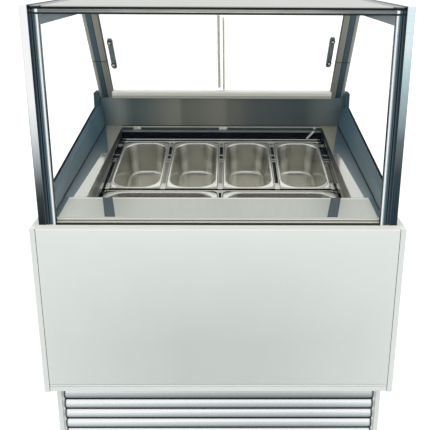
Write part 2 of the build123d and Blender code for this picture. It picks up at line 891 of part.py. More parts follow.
# Pan frame: a plate whose pockets carry the pans' rims, with a channel along each bar
pocket_depth = pan_frame_rise + pan_sheet + seat_gap
back_pocket_edge = 1.5 * pan_pitch + pan_width / 2 + pocket_gap
front_pocket_edge = front_pan_x + pan_length / 2 + pocket_gap
back_side_bar = (back_pocket_edge + well_half_width) / 2
front_side_bar = (front_pocket_edge + well_half_width) / 2
cross_bar = (back_row_front + front_row_rear) / 2
rear_bar = (back_row_rear + pocket_gap + pan_frame_rear) / 2
cross_length = 2 * back_side_bar + channel_width
with BuildPart() as pan_frame:
    with BuildSketch(pan_plane.offset(pan_frame_rise)):
        with Locations((0, (pan_frame_front + pan_frame_rear) / 2)):
            Rectangle(2 * well_half_width, pan_frame_rear - pan_frame_front)
    extrude(amount=-pan_frame_depth)
    with BuildSketch(pan_plane.offset(pan_frame_rise)):
        with Locations(*pan_spots.values()):
            RectangleRounded(pan_length + 2 * pocket_gap, pan_width + 2 * pocket_gap, pan_rim_radius)
    extrude(amount=-pocket_depth, mode=Mode.SUBTRACT)
    with BuildSketch(pan_plane.offset(pan_frame_rise)):
        with Locations(*pan_spots.values()):
            RectangleRounded(
                pan_length - 2 * pan_rim + 2 * opening_gap,
                pan_width - 2 * pan_rim + 2 * opening_gap,
                pan_corner,
            )
    extrude(amount=-pan_frame_depth, mode=Mode.SUBTRACT)
    with BuildSketch(pan_plane.offset(pan_frame_rise)):
        for x in (-back_side_bar, -pan_pitch, 0, pan_pitch, back_side_bar):
            with Locations((x, back_row_middle)):
                Rectangle(channel_width, pan_length - 2 * pan_rim)
        for x in (-front_side_bar, 0, front_side_bar):
            with Locations((x, front_row_middle)):
                Rectangle(channel_width / 1.5, pan_width - 2 * pan_rim)
        with Locations((0, cross_bar), (0, rear_bar)):
            Rectangle(cross_length, channel_width)
    extrude(amount=-channel_depth, mode=Mode.SUBTRACT)
write(pan_frame.part, "pan_frame")

# Canopy side frames: a front post and a top rail in one mitred frame
rear_edge = rear_post_depth / cos(radians(lean))
with BuildPart() as side_frame:
    with BuildSketch(Plane.YZ.offset(-frame_outer_half)):
        with BuildLine():
            Polyline(
                (frame_front, sill_top),
                (frame_front, canopy_top),
                (lean_y(canopy_top) + rear_edge, canopy_top),
                (lean_y(side_rail_z) + rear_edge, side_rail_z),
                (post_back, side_rail_z),
                (post_back, tub_shoulder),
                (sill_back, tub_shoulder),
                (sill_back, sill_top),
                close=True,
            )
        make_face()
    extrude(amount=frame_width)
    fillet(side_frame.edges().filter_by(Axis.Z).group_by(Axis.Y)[0], edge_radius)
write_pair(side_frame.part, "side_frame")

# Side glass: one pane under each top rail, outside the rear post
with BuildPart() as side_glass:
    with BuildSketch(Plane.YZ.offset(-frame_inner_half)):
        with BuildLine():
            Polyline(
                (post_back, wall_z(post_back)),
                (post_back, side_rail_z),
                (lean_y(side_rail_z) + rear_edge, side_rail_z),
                (lean_foot_y + rear_edge, lean_foot_z),
                (riser_y, lean_foot_z),
                (riser_y, wall_z(riser_y)),
                close=True,
            )
        make_face()
    extrude(amount=-side_glass_thickness)
write_pair(side_glass.part, "side_glass")

# Glazing bars: ribbed uprights with a round bead beside the front glass
bar_back = frame_front + bead_radius + glazing_bar_depth
with BuildPart() as glazing_bar:
    with BuildSketch(Plane.XY.offset(sill_top)):
        with Locations((-frame_inner_half, bar_back)):
            Rectangle(glazing_bar_width, glazing_bar_depth, align=(Align.MIN, Align.MAX))
        for rib in (0.2, 0.45):
            with Locations((-frame_inner_half + rib * glazing_bar_width, frame_front + glazing_rib)):
                Rectangle(glazing_rib, bead_radius, align=(Align.CENTER, Align.MIN))
        with Locations((-bar_half - bead_radius, frame_front + bead_radius)):
            Circle(bead_radius)
    extrude(amount=front_rail_z - sill_top)
write_pair(glazing_bar.part, "glazing_bar")

# Front glass
front_glass_y = frame_front + front_glass_setback
with BuildPart() as front_glass:
    with BuildSketch(Plane.XY.offset(sill_top + gasket_height)):
        with Locations((0, front_glass_y)):
            Rectangle(2 * bar_half, front_glass_thickness, align=(Align.CENTER, Align.MIN))
    extrude(amount=front_rail_z - sill_top - gasket_height)
write(front_glass.part, "front_glass")

# Seals: the gasket under the front glass and a strip along each side of the deck
seal_front = (sill_back + sheet) / deck_cos
with BuildPart() as seals:
    with BuildSketch(Plane.YZ):
        with Locations((frame_front, sill_top)):
            Rectangle(bar_back - frame_front, gasket_height, align=(Align.MIN, Align.MIN))
    extrude(amount=bar_half, both=True)
    fillet(seals.edges().filter_by(Axis.X).group_by(Axis.Z)[-1], edge_radius)
    with BuildSketch(along(deck_plane, side_deck_rear)):
        with Locations((deck_half_width, -sheet), (-wall_foot_half_width, -sheet)):
            Rectangle(
                wall_foot_half_width - deck_half_width,
                sheet + seal_rise,
                align=(Align.MIN, Align.MIN),
            )
    extrude(amount=side_deck_rear - seal_front)
write(seals.part, "seals")

# Top front rail: bull-nosed rail over the front glass
rail_back = frame_front + front_rail_depth
with BuildPart() as top_front_rail:
    with BuildSketch(Plane.YZ):
        with BuildLine():
            Polyline(
                (frame_front + front_rail_bull, front_rail_z),
                (rail_back, front_rail_z),
                (rail_back, front_rail_top + rail_shadow),
                (frame_front + front_rail_bull, front_rail_top + rail_shadow),
                (frame_front + front_rail_bull, front_rail_top),
            )
            ThreePointArc(
                (frame_front + front_rail_bull, front_rail_top),
                (frame_front, (front_rail_top + front_rail_z + front_rail_recess) / 2),
                (frame_front + front_rail_bull, front_rail_z + front_rail_recess),
            )
            Line(
                (frame_front + front_rail_bull, front_rail_z + front_rail_recess),
                (frame_front + front_rail_bull, front_rail_z),
            )
        make_face()
    extrude(amount=frame_inner_half, both=True)
write(top_front_rail.part, "top_front_rail")

# Sections of the doors on a plane along the slope
door_section = slope_section(door_plane)
door_sets = {"left": inner_door_set, "right": outer_door_set}
slot_floors = {"left": inner_slot_floor, "right": outer_slot_floor}
slot_width = door_glass + 2 * door_slot_gap

# Rear top rail: cover strip and upper door channel
top_panel_rear = lean_y(canopy_top) - rear_rail_width
door_top = lean_up(side_rail_z) + door_head
strip_high = lean_up(side_rail_z) - strip_gap
handle_middle = handle_rise * door_top
with BuildPart() as rear_top_rail:
    with BuildSketch(Plane.YZ):
        with BuildLine():
            Polyline(
                (top_panel_rear, top_z - top_panel_sheet),
                (top_panel_rear, top_z),
                (lean_y(top_z) + rear_edge, top_z),
                (lean_y(side_rail_z) + rear_edge, side_rail_z),
                (lean_y(side_rail_z) - rear_rail_nose, side_rail_z),
                (lean_y(top_z - top_panel_sheet) - rear_rail_nose, top_z - top_panel_sheet),
                close=True,
            )
        make_face()
    extrude(amount=frame_inner_half, both=True)
    with BuildSketch(door_section):
        for side in ("left", "right"):
            with Locations((strip_high, door_slot_gap - door_sets[side])):
                Rectangle(
                    door_top - strip_high + 2 * sheet, slot_width, align=(Align.MIN, Align.MAX)
                )
    extrude(amount=rear_post_inner + rear_post_width / 2, both=True, mode=Mode.SUBTRACT)
write(rear_top_rail.part, "rear_top_rail")

# Top panel: flat sheet between the side frames
with BuildPart() as top_panel:
    with BuildSketch(Plane.XY.offset(top_z - top_panel_sheet)):
        with Locations((0, frame_front)):
            Rectangle(2 * frame_inner_half, top_panel_rear - frame_front, align=(Align.CENTER, Align.MIN))
    extrude(amount=top_panel_sheet)
write(top_panel.part, "top_panel")

# Bottom track on the parapet, with two door slots and a groove along its front face
track_middle = (track_seat + track_top) / 2
with BuildPart() as rear_bottom_track:
    with BuildSketch(Plane.YZ):
        with Locations((track_front, track_seat)):
            Rectangle(track_rear - track_front, track_top - track_seat, align=(Align.MIN, Align.MIN))
        with Locations((track_front, track_middle)):
            Rectangle(2 * track_groove, 2 * track_groove, mode=Mode.SUBTRACT)
    extrude(amount=rear_post_inner, both=True)
    with BuildSketch(door_section):
        for side in ("left", "right"):
            with Locations((slot_floors[side], door_slot_gap - door_sets[side])):
                Rectangle(track_top - track_seat, slot_width, align=(Align.MIN, Align.MAX))
    extrude(amount=rear_post_inner, both=True, mode=Mode.SUBTRACT)
write(rear_bottom_track.part, "rear_bottom_track")

# Rear posts: leaning channels that take the doors' outer edges
post_reach = lean_up(canopy_top)
with BuildPart() as rear_post:
    with BuildSketch(along(door_plane, post_reach)):
        with Locations((-frame_inner_half, 0)):
            Rectangle(rear_post_width, rear_post_depth, align=(Align.MIN, Align.MAX))
        with Locations((-rear_post_inner, -rear_post_flange)):
            Rectangle(
                rear_post_width - rear_post_web,
                rear_post_depth - 2 * rear_post_flange,
                align=(Align.MAX, Align.MAX),
                mode=Mode.SUBTRACT,
            )
    extrude(amount=2 * post_reach)
    split(bisect_by=Plane.XY.offset(side_rail_z), keep=Keep.BOTTOM)
    split(bisect_by=Plane.XY.offset(track_seat), keep=Keep.TOP)
write_pair(rear_post.part, "rear_post")

# Sliding doors: glass pane, edge strip and pull handle
door_edge = rear_post_inner + door_engagement
door_spans = {"left": (-door_edge, door_overlap_left), "right": (-door_overlap_right, door_edge)}
for side, (low_x, high_x) in door_spans.items():
    face = -door_sets[side]
    inward = -1 if side == "left" else 1
    meeting = high_x if side == "left" else low_x
    door_bottom = slot_floors[side] + seat_gap
    with BuildPart() as door_pane:
        with BuildSketch(door_plane.offset(face - door_glass)):
            with Locations((low_x, door_bottom)):
                Rectangle(high_x - low_x, door_top - door_bottom, align=(Align.MIN, Align.MIN))
        extrude(amount=door_glass)
    write(door_pane.part, f"{side}_door_glass")

    strip_middle = meeting + inward * (strip_width / 2 - strip_wall)
    groove_middle = meeting + inward * (strip_width - strip_wall) / 2
    with BuildPart() as door_strip:
        with BuildSketch(along(door_plane, strip_high)):
            with Locations((strip_middle, face - door_glass / 2)):
                Rectangle(strip_width, door_glass + 2 * strip_wall)
            with Locations((groove_middle, face - door_glass / 2)):
                Rectangle(strip_width - strip_wall, door_glass, mode=Mode.SUBTRACT)
        extrude(amount=strip_high - strip_low)
    write(door_strip.part, f"{side}_door_strip")

    pull_x = inward * handle_x
    pull_back = face - door_glass
    boss_spots = [(pull_x, handle_middle + end * handle_span / 2) for end in (-1, 1)]
    with BuildPart() as door_handle:
        with BuildSketch(door_plane.offset(pull_back - handle_standoff)):
            with Locations((pull_x, handle_middle)):
                SlotOverall(handle_span + 2 * handle_end, handle_width, rotation=90)
        extrude(amount=-handle_thickness)
        outer_face = door_handle.faces().filter_by(door_plane).sort_by(Axis.Y)[-1]
        chamfer(outer_face.edges(), handle_chamfer)
        with BuildSketch(door_plane.offset(pull_back)):
            with Locations(*boss_spots):
                Circle(handle_boss_radius)
        extrude(amount=-handle_standoff)
    write(door_handle.part, f"{side}_door_handle")


# Evaporator: finned coil on the tank floor, under the pans
evaporator_z = liner_floor + evaporator_height / 2
evaporator_rear = evaporator_front + evaporator_depth
evaporator_pitch = (evaporator_width - fin_thickness) / (evaporator_fins - 1)
with BuildPart() as evaporator:
    with BuildSketch(Plane.XZ.offset(-evaporator_rear)):
        with Locations((0, evaporator_z)):
            Rectangle(evaporator_width, 2 * tube_radius)
            with GridLocations(evaporator_pitch, 0, evaporator_fins, 1):
                Rectangle(fin_thickness, evaporator_height)
    extrude(amount=evaporator_depth)
write(evaporator.part, "evaporator")

# Fan bulkhead across the tank behind the evaporator
small_fan_z = liner_floor + bulkhead_height / 2
with BuildPart() as fan_bulkhead:
    with BuildSketch(Plane.XZ.offset(-bulkhead_y)):
        with Locations((0, small_fan_z)):
            Rectangle(2 * well_half_width, bulkhead_height)
            Circle(small_fan_radius + 3, mode=Mode.SUBTRACT)
    extrude(amount=-bulkhead_sheet)
write(fan_bulkhead.part, "fan_bulkhead")


def axial_fan(radius, hub_radius):
    """Axial fan about the Y axis: bored hub and pitched blades, its back face at Y = 0."""
    with BuildPart() as fan:
        with BuildSketch(Plane.XZ):
            Circle(hub_radius)
        extrude(amount=fan_depth)
        for blade in range(fan_blades):
            turn = radians(blade * 360 / fan_blades)
            pitch = radians(blade_pitch)
            blade_plane = Plane(
                origin=(0, -fan_depth / 2, 0),
                x_dir=(cos(turn), 0, sin(turn)),
                z_dir=(-sin(pitch) * sin(turn), -cos(pitch), sin(pitch) * cos(turn)),
            )
            with BuildSketch(blade_plane):
                with BuildLine():
                    Line((hub_radius / 2, -hub_radius / 3), (0.97 * radius, -0.22 * radius))
                    ThreePointArc(
                        (0.97 * radius, -0.22 * radius),
                        (radius, 0),
                        (0.97 * radius, 0.22 * radius),
                    )
                    Line((0.97 * radius, 0.22 * radius), (hub_radius / 2, hub_radius / 3))
                    Line((hub_radius / 2, hub_radius / 3), (hub_radius / 2, -hub_radius / 3))
                make_face()
            extrude(amount=blade_thickness / 2, both=True)
        with BuildSketch(Plane.XZ.offset(-fan_depth)):
            Circle(shaft_radius + seat_gap)
        extrude(amount=fan_depth + shaft_length, mode=Mode.SUBTRACT)
    return fan.part


def fan_motor(radius, length, arm_reach):
    """Fan motor about the Y axis: can, shaft towards -Y and three mounting arms at its front face."""
    with BuildPart() as motor:
        with BuildSketch(Plane.XZ):
            Circle(radius)
        extrude(amount=-length)
        chamfer(motor.faces().sort_by(Axis.Y)[-1].edges(), radius / 5)
        with BuildSketch(Plane.XZ):
            Circle(shaft_radius)
        extrude(amount=shaft_length)
        with BuildSketch(Plane.XZ):
            with PolarLocations(0, 3, start_angle=90):
                Rectangle(arm_reach, 2 * shaft_radius, align=(Align.MIN, Align.CENTER))
        extrude(amount=-bulkhead_sheet)
    return motor.part


# Evaporator fan, carried on its motor's shaft in front of the bulkhead's opening
with BuildPart() as evaporator_fan:
    with Locations((0, bulkhead_y - blade_thickness, small_fan_z)):
        add(axial_fan(small_fan_radius, small_hub_radius))
write(evaporator_fan.part, "evaporator_fan")

# Compressor: welded shell on a foot plate
tray_floor = foot_height + tray_sheet
shell_foot = tray_floor + 16
dome_z = shell_foot + compressor_height - compressor_radius
with BuildPart() as compressor:
    with BuildSketch(Plane.XZ):
        with BuildLine():
            Polyline(
                (0, shell_foot),
                (0.8 * compressor_radius, shell_foot),
                (compressor_radius, shell_foot + 0.3 * compressor_radius),
                (compressor_radius, dome_z),
            )
            ThreePointArc(
                (compressor_radius, dome_z),
                (compressor_radius * cos(radians(45)), dome_z + compressor_radius * sin(radians(45))),
                (0, dome_z + compressor_radius),
            )
            Line((0, dome_z + compressor_radius), (0, shell_foot))
        make_face()
    revolve(axis=Axis.Z)
    with BuildSketch(Plane.XY.offset(shell_foot - 3)):
        RectangleRounded(2.2 * compressor_radius, 1.5 * compressor_radius, 12)
    extrude(amount=6)
    with BuildSketch(Plane.XY.offset(tray_floor)):
        with GridLocations(1.9 * compressor_radius, 1.2 * compressor_radius, 2, 2):
            Circle(9)
    extrude(amount=shell_foot - tray_floor)
with BuildPart() as placed_compressor:
    with Locations((compressor_x, compressor_y)):
        add(compressor.part)
write(placed_compressor.part, "compressor")

# Condenser: finned coil behind the louvres, with the fan shroud on its rear face
condenser_z = tray_floor + condenser_height / 2
condenser_y = condenser_front + condenser_depth / 2
shroud_front = condenser_front + condenser_depth
shroud_back = shroud_front + shroud_depth
with BuildPart() as shroud:
    with BuildSketch(Plane.XZ.offset(-shroud_front)):
        with Locations((condenser_x, condenser_z)):
            Rectangle(condenser_width, condenser_height)
    extrude(amount=-shroud_depth)
    offset(amount=-sheet, openings=shroud.faces().sort_by(Axis.Y)[0])
    with BuildSketch(Plane.XZ.offset(-shroud_front)):
        with Locations((condenser_x, condenser_z)):
            Circle(large_fan_radius + 2 * blade_thickness)
    extrude(amount=-2 * shroud_depth, mode=Mode.SUBTRACT)
condenser_pitch = (condenser_width - fin_thickness) / (condenser_fins - 1)
with BuildPart() as condenser:
    with BuildSketch(Plane.XY.offset(tray_floor)):
        with Locations((condenser_x, condenser_y)):
            Rectangle(condenser_width, 2 * tube_radius)
            with GridLocations(condenser_pitch, 0, condenser_fins, 1):
                Rectangle(fin_thickness, condenser_depth)
    extrude(amount=condenser_height)
    add(shroud.part)
write(condenser.part, "condenser")

# Condenser fan
with BuildPart() as condenser_fan:
    with Locations((condenser_x, shroud_back - blade_thickness, condenser_z)):
        add(axial_fan(large_fan_radius, large_hub_radius))
write(condenser_fan.part, "condenser_fan")

# Fan motors, one on the bulkhead and one on the condenser's shroud
with BuildPart() as fan_motors:
    with Locations((0, bulkhead_y + bulkhead_sheet, small_fan_z)):
        add(fan_motor(small_motor_radius, small_motor_length, small_fan_radius + 3 * bulkhead_sheet))
    with Locations((condenser_x, shroud_back, condenser_z)):
        add(fan_motor(large_motor_radius, large_motor_length, large_fan_radius + 5 * bulkhead_sheet))
write(fan_motors.part, "fan_motors")


def tube(radius, points):
    """Round tube along straight runs joined by round elbows."""
    with BuildLine() as route:
        Polyline(*points)
    with BuildSketch(Plane(origin=route.line @ 0, z_dir=route.line % 0)) as bore:
        Circle(radius)
    sweep(bore.sketch, path=route.line, transition=Transition.ROUND)


# Refrigerant pipes: discharge, suction and liquid lines, with the filter drier on the liquid line
port_z = shell_foot + compressor_height / 2
condenser_left = condenser_x - condenser_width / 2
evaporator_left = -evaporator_width / 2
suction_y = pipe_y + 0.4 * pipe_hole_radius
liquid_y = pipe_y - 0.4 * pipe_hole_radius
liquid_z = tray_floor + 2 * drier_radius
drier_x = condenser_left - drier_clearance - drier_length
with BuildPart() as refrigerant_pipes:
    tube(
        liquid_radius,
        (
            (compressor_x, compressor_y - compressor_radius, port_z),
            (compressor_x, condenser_y, port_z),
            (condenser_left, condenser_y, port_z),
        ),
    )
    tube(
        suction_radius,
        (
            (compressor_x - compressor_radius, compressor_y, port_z),
            (pipe_x, compressor_y, port_z),
            (pipe_x, suction_y, port_z),
            (pipe_x, suction_y, evaporator_z),
            (evaporator_left, suction_y, evaporator_z),
        ),
    )
    tube(
        liquid_radius,
        (
            (condenser_left, condenser_y, liquid_z),
            (pipe_x, condenser_y, liquid_z),
            (pipe_x, liquid_y, liquid_z),
            (pipe_x, liquid_y, evaporator_z),
            (evaporator_left, liquid_y, evaporator_z),
        ),
    )
    with BuildSketch(Plane.YZ.offset(drier_x)):
        with Locations((condenser_y, liquid_z)):
            Circle(drier_radius)
    extrude(amount=drier_length)
write(refrigerant_pipes.part, "refrigerant_pipes")
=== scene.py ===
import math

import bmesh
import bpy
from mathutils import Matrix, Vector

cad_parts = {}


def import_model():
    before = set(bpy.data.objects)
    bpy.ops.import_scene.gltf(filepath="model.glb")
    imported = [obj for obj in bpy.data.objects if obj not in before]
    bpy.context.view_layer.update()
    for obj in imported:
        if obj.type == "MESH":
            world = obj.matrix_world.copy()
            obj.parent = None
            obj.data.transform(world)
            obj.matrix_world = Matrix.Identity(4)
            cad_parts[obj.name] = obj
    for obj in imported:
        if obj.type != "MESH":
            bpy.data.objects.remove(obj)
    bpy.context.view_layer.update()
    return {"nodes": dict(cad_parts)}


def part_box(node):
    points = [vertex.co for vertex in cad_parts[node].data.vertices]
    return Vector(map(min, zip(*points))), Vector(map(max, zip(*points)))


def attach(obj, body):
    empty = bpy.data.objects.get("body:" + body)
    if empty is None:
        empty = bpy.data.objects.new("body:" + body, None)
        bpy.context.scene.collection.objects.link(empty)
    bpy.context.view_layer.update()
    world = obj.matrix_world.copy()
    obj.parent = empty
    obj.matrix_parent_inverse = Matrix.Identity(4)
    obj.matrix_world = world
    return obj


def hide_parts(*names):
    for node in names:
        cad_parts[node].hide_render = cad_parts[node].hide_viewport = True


# Ice cream display freezer: looks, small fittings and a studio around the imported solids, in metres

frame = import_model()
nodes = frame["nodes"]
MM = 0.001

# Least part of a normal along an axis, for a face that looks roughly or nearly straight along it
FACING = 0.7
STRAIGHT = 0.9


# Places

def corners(name):
    """Lowest and highest corner of a CAD node."""
    low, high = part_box(name)
    return Vector(low), Vector(high)


def top_plane(name):
    """Place of a CAD node's sloping top: X across, Y up the slope, Z off the plane."""
    rising = [face for face in nodes[name].data.polygons if face.normal.z > STRAIGHT]
    top = max(rising, key=lambda face: face.normal.dot(face.center))
    across = Vector((1, 0, 0))
    turn = Matrix((across, top.normal.cross(across), top.normal)).transposed().to_4x4()
    height = top.normal.dot(top.center) / top.normal.z
    return Matrix.Translation((0, 0, height)) @ turn


def extent(name, place):
    """Lowest and highest corner of a CAD node, seen in another place's axes."""
    inverse = place.inverted()
    points = [inverse @ vertex.co for vertex in nodes[name].data.vertices]
    return Vector(map(min, zip(*points))), Vector(map(max, zip(*points)))


PAN = top_plane("pan_frame")
OFF_PAN = PAN.inverted()
DECK = top_plane("side_decks")
# Inner and outer face of the canopy's side frames, out from the middle
GLASS_SIDE, POST_SIDE = (corner.x for corner in corners("right_side_frame"))
pan_names = [name for name in nodes if "_pan_" in name]


# Shading helpers

# Depth of the grain that the looks raise or sink
GRAIN_DEPTH = 0.2 * MM


def srgb(red, green, blue):
    """A display colour from 0 to 255 as linear light."""
    def linear(value):
        value /= 255
        return value / 12.92 if value <= 0.04045 else ((value + 0.055) / 1.055) ** 2.4
    return (linear(red), linear(green), linear(blue), 1.0)


def grey(value):
    """A display grey from 0 to 255 as linear light."""
    return srgb(value, value, value)


class Look:
    """A procedural material: one Principled shader and short ways to add the nodes that feed it."""

    def __init__(self, name, **settings):
        self.material = bpy.data.materials.new(name)
        self.material.use_nodes = True
        self.nodes = self.material.node_tree.nodes
        self.links = self.material.node_tree.links
        self.shader = self.nodes["Principled BSDF"]
        self.place = self.nodes.new("ShaderNodeTexCoord").outputs["Object"]
        for socket, value in settings.items():
            self.set(socket.replace("_", " "), value)

    def feed(self, socket, value):
        """Set a socket to a value, or link it to another socket."""
        if isinstance(value, bpy.types.NodeSocket):
            self.links.new(value, socket)
        else:
            socket.default_value = value

    def set(self, socket, value):
        """Set or link one of the Principled shader's sockets."""
        self.feed(self.shader.inputs[socket], value)

    def show(self, shader):
        """Send another shader to the material's output."""
        self.links.new(shader, self.nodes["Material Output"].inputs[0])

    def add(self, kind, output=0, **inputs):
        """Add a node, set its properties and numbered inputs (i0, i1 ...) and return one output."""
        node = self.nodes.new(kind)
        for key, value in inputs.items():
            if key[0] == "i" and key[1:].isdigit():
                self.feed(node.inputs[int(key[1:])], value)
            else:
                setattr(node, key, value)
        return node.outputs[output]

    def maths(self, operation, first, second=0.0):
        """One arithmetic step on one or two numbers or sockets."""
        return self.add("ShaderNodeMath", operation=operation, i0=first, i1=second)

    def axis(self, letter, mirrored=False):
        """One coordinate of the place on the object, in metres, or its size without the sign."""
        value = self.add("ShaderNodeSeparateXYZ", letter, i0=self.place)
        return self.maths("ABSOLUTE", value) if mirrored else value

    def off(self, place):
        """Distance off the plane of a place, in metres."""
        normal = place.col[2].xyz
        height = self.add(
            "ShaderNodeVectorMath", "Value", operation="DOT_PRODUCT", i0=self.place, i1=normal)
        return self.maths("SUBTRACT", height, place.translation.dot(normal))

    def noise(self, scale, detail=3.0, roughness=0.55):
        """Noise with a scale for each axis, in cycles per metre."""
        place = self.add("ShaderNodeVectorMath", operation="MULTIPLY", i0=self.place, i1=scale)
        return self.add("ShaderNodeTexNoise", i0=place, i2=1.0, i3=detail, i4=roughness)

    def ramp(self, value, start, end):
        """0 where a value is at the start of a stretch and 1 where it is at the end."""
        return self.add("ShaderNodeMapRange", i0=value, i1=start, i2=end)

    def step(self, value, edge, soft=1.0 * MM):
        """0 below an edge and 1 above it."""
        return self.ramp(value, edge - soft / 2, edge + soft / 2)

    def spread(self, factor, low, high):
        """A factor from 0 to 1 as a number between low and high."""
        return self.add("ShaderNodeMapRange", i0=factor, i3=low, i4=high)

    def bands(self, value, stops, interpolation="LINEAR"):
        """Colours along a value: stops are (value, colour) pairs in rising order."""
        low, high = stops[0][0], stops[-1][0]
        factor = self.ramp(value, low, high)
        node = self.nodes.new("ShaderNodeValToRGB")
        node.color_ramp.interpolation = interpolation
        elements = node.color_ramp.elements
        while len(elements) < len(stops):
            elements.new(0.5)
        for element, (place, colour) in zip(elements, stops):
            element.position = (place - low) / (high - low)
            element.color = colour
        self.feed(node.inputs[0], factor)
        return node.outputs[0]

    def upward(self, base, stops):
        """Colours by height: stops are (mm above a base height, colour) pairs."""
        return self.bands(self.axis("Z"), [(base + up * MM, colour) for up, colour in stops])

    def outward(self, side, stops):
        """Colours across a piece at both sides: stops are (mm inside its outer side, colour) pairs."""
        return self.bands(self.axis("X", True), [(side - inset * MM, colour) for inset, colour in stops])

    def mix(self, first, second, factor, blend="MIX"):
        """A colour mixed into another by a factor."""
        return self.add(
            "ShaderNodeMix", 2, data_type="RGBA", blend_type=blend, i0=factor, i6=first, i7=second)

    def vary(self, colour, factor, contrast):
        """A colour that a factor from 0 to 1 makes darker or lighter by a share."""
        shade = self.spread(factor, 1 - contrast, 1 + contrast)
        tone = self.add("ShaderNodeCombineColor", i0=shade, i1=shade, i2=shade)
        return self.mix(colour, tone, 1.0, "MULTIPLY")

    def bump(self, height, strength):
        """Raise the surface by a grain pattern."""
        self.set("Normal", self.add("ShaderNodeBump", i0=strength, i1=GRAIN_DEPTH, i3=height))


def paint(names, base, *rules):
    """Give CAD nodes a base look, and other looks to the faces that pass a test of centre and normal."""
    for name in names.split():
        mesh = nodes[name].data
        mesh.materials.clear()
        for look in [base] + [look for look, test in rules]:
            mesh.materials.append(look.material)
        for face in mesh.polygons:
            picks = [n for n, (look, test) in enumerate(rules, 1) if test(face.center, face.normal)]
            face.material_index = picks[0] if picks else 0


# Kinds of look: a colour is plain, or a shade function that builds it from nodes

def coat(name, colour, rough=0.35, contrast=0.03, specular=0.5):
    """Paint or plastic: a faint orange peel and slight cloudiness over a colour."""
    clouds, peel = (7, 7, 7), (420, 420, 420)
    look = Look(name, Roughness=rough, Specular_IOR_Level=specular)
    tone = colour(look) if callable(colour) else colour
    look.set("Base Color", look.vary(tone, look.noise(clouds), contrast))
    look.bump(look.noise(peel, 2.0), 0.1)
    return look


def metal(name, colour, rough, grain, contrast=0.15, relief=0.1, share=1.0, wear=0.2, specular=0.5):
    """Bare metal with a grain: the noise is drawn out along the axis with the smallest scale.
    A share of metal below 1 scatters the rest of the light, as a finely ground sheet does."""
    look = Look(name, Metallic=share, Specular_IOR_Level=specular)
    tone = colour(look) if callable(colour) else colour
    streak = look.noise(grain, 4.0)
    look.set("Base Color", look.vary(tone, streak, contrast))
    look.set("Roughness", look.spread(streak, rough * (1 - wear), rough * (1 + wear)))
    look.bump(streak, relief)
    return look


def clear_glass(name, tint, mirror):
    """Thin pane: light passes straight through, with a weak, slightly uneven reflection."""
    clouds, swing = (9, 9, 9), 0.3
    look = Look(name, Roughness=0.02, Metallic=1.0, Base_Color=tint)
    through = look.add("ShaderNodeBsdfTransparent", i0=tint)
    share = look.spread(look.noise(clouds, 2.0), mirror * (1 - swing), mirror * (1 + swing))
    look.show(look.add("ShaderNodeMixShader", i0=share, i1=through, i2=look.shader.outputs[0]))
    return look


def frosted(name, colour, tint, clear):
    """Milky plastic that lets a slightly uneven share of the light straight through, with a tint."""
    clouds, swing = (30, 30, 30), 0.03
    look = coat(name, colour, 0.5)
    through = look.add("ShaderNodeBsdfTransparent", i0=tint)
    share = look.spread(look.noise(clouds, 2.0), clear - swing, clear + swing)
    look.show(look.add("ShaderNodeMixShader", i0=share, i1=look.shader.outputs[0], i2=through))
    return look


def deck_steel(name):
    """Polished deck, painted reflections: white for the room, slate for the coaming beside it, beige for the
    back wall at the rear.
    """
    near_slant, near_edge = 0.047, 0.4135
    far_slant, far_edge = 0.214, 0.3705
    rear_start, rear_fade = 0.085, 8 * MM
    look = Look(name)
    out, back = look.axis("X", True), look.axis("Y")
    near = look.maths("ADD", out, look.maths("MULTIPLY", back, near_slant))
    far = look.maths("SUBTRACT", out, look.maths("MULTIPLY", back, far_slant))
    # Painted reflections: slate of the coaming, pale of the room, beige of the back wall
    coaming_reflection_tone = look.bands(back, [
        (-0.30, srgb(112, 127, 132)), (0.05, srgb(88, 106, 113)),
        (0.20, srgb(66, 92, 104)), (0.38, srgb(60, 84, 96)),
    ])
    front_side = look.step(near, near_edge)
    rear_side = look.step(far, far_edge)
    rear = look.step(back, rear_start, rear_fade)
    front_tone = look.mix(srgb(208, 210, 203), coaming_reflection_tone, front_side)
    rear_reflection_tone = look.mix(srgb(146, 144, 130), coaming_reflection_tone, rear_side)
    streak = look.noise((260, 8, 60), 4.0)
    look.set("Base Color", look.vary(look.mix(front_tone, rear_reflection_tone, rear), streak, 0.05))
    plain = look.maths("MAXIMUM", front_side, rear)
    look.set("Metallic", look.spread(plain, 0.7, 0.1))
    look.set("Roughness", look.spread(plain, 0.1, 0.35))
    look.bump(streak, 0.03)
    return look


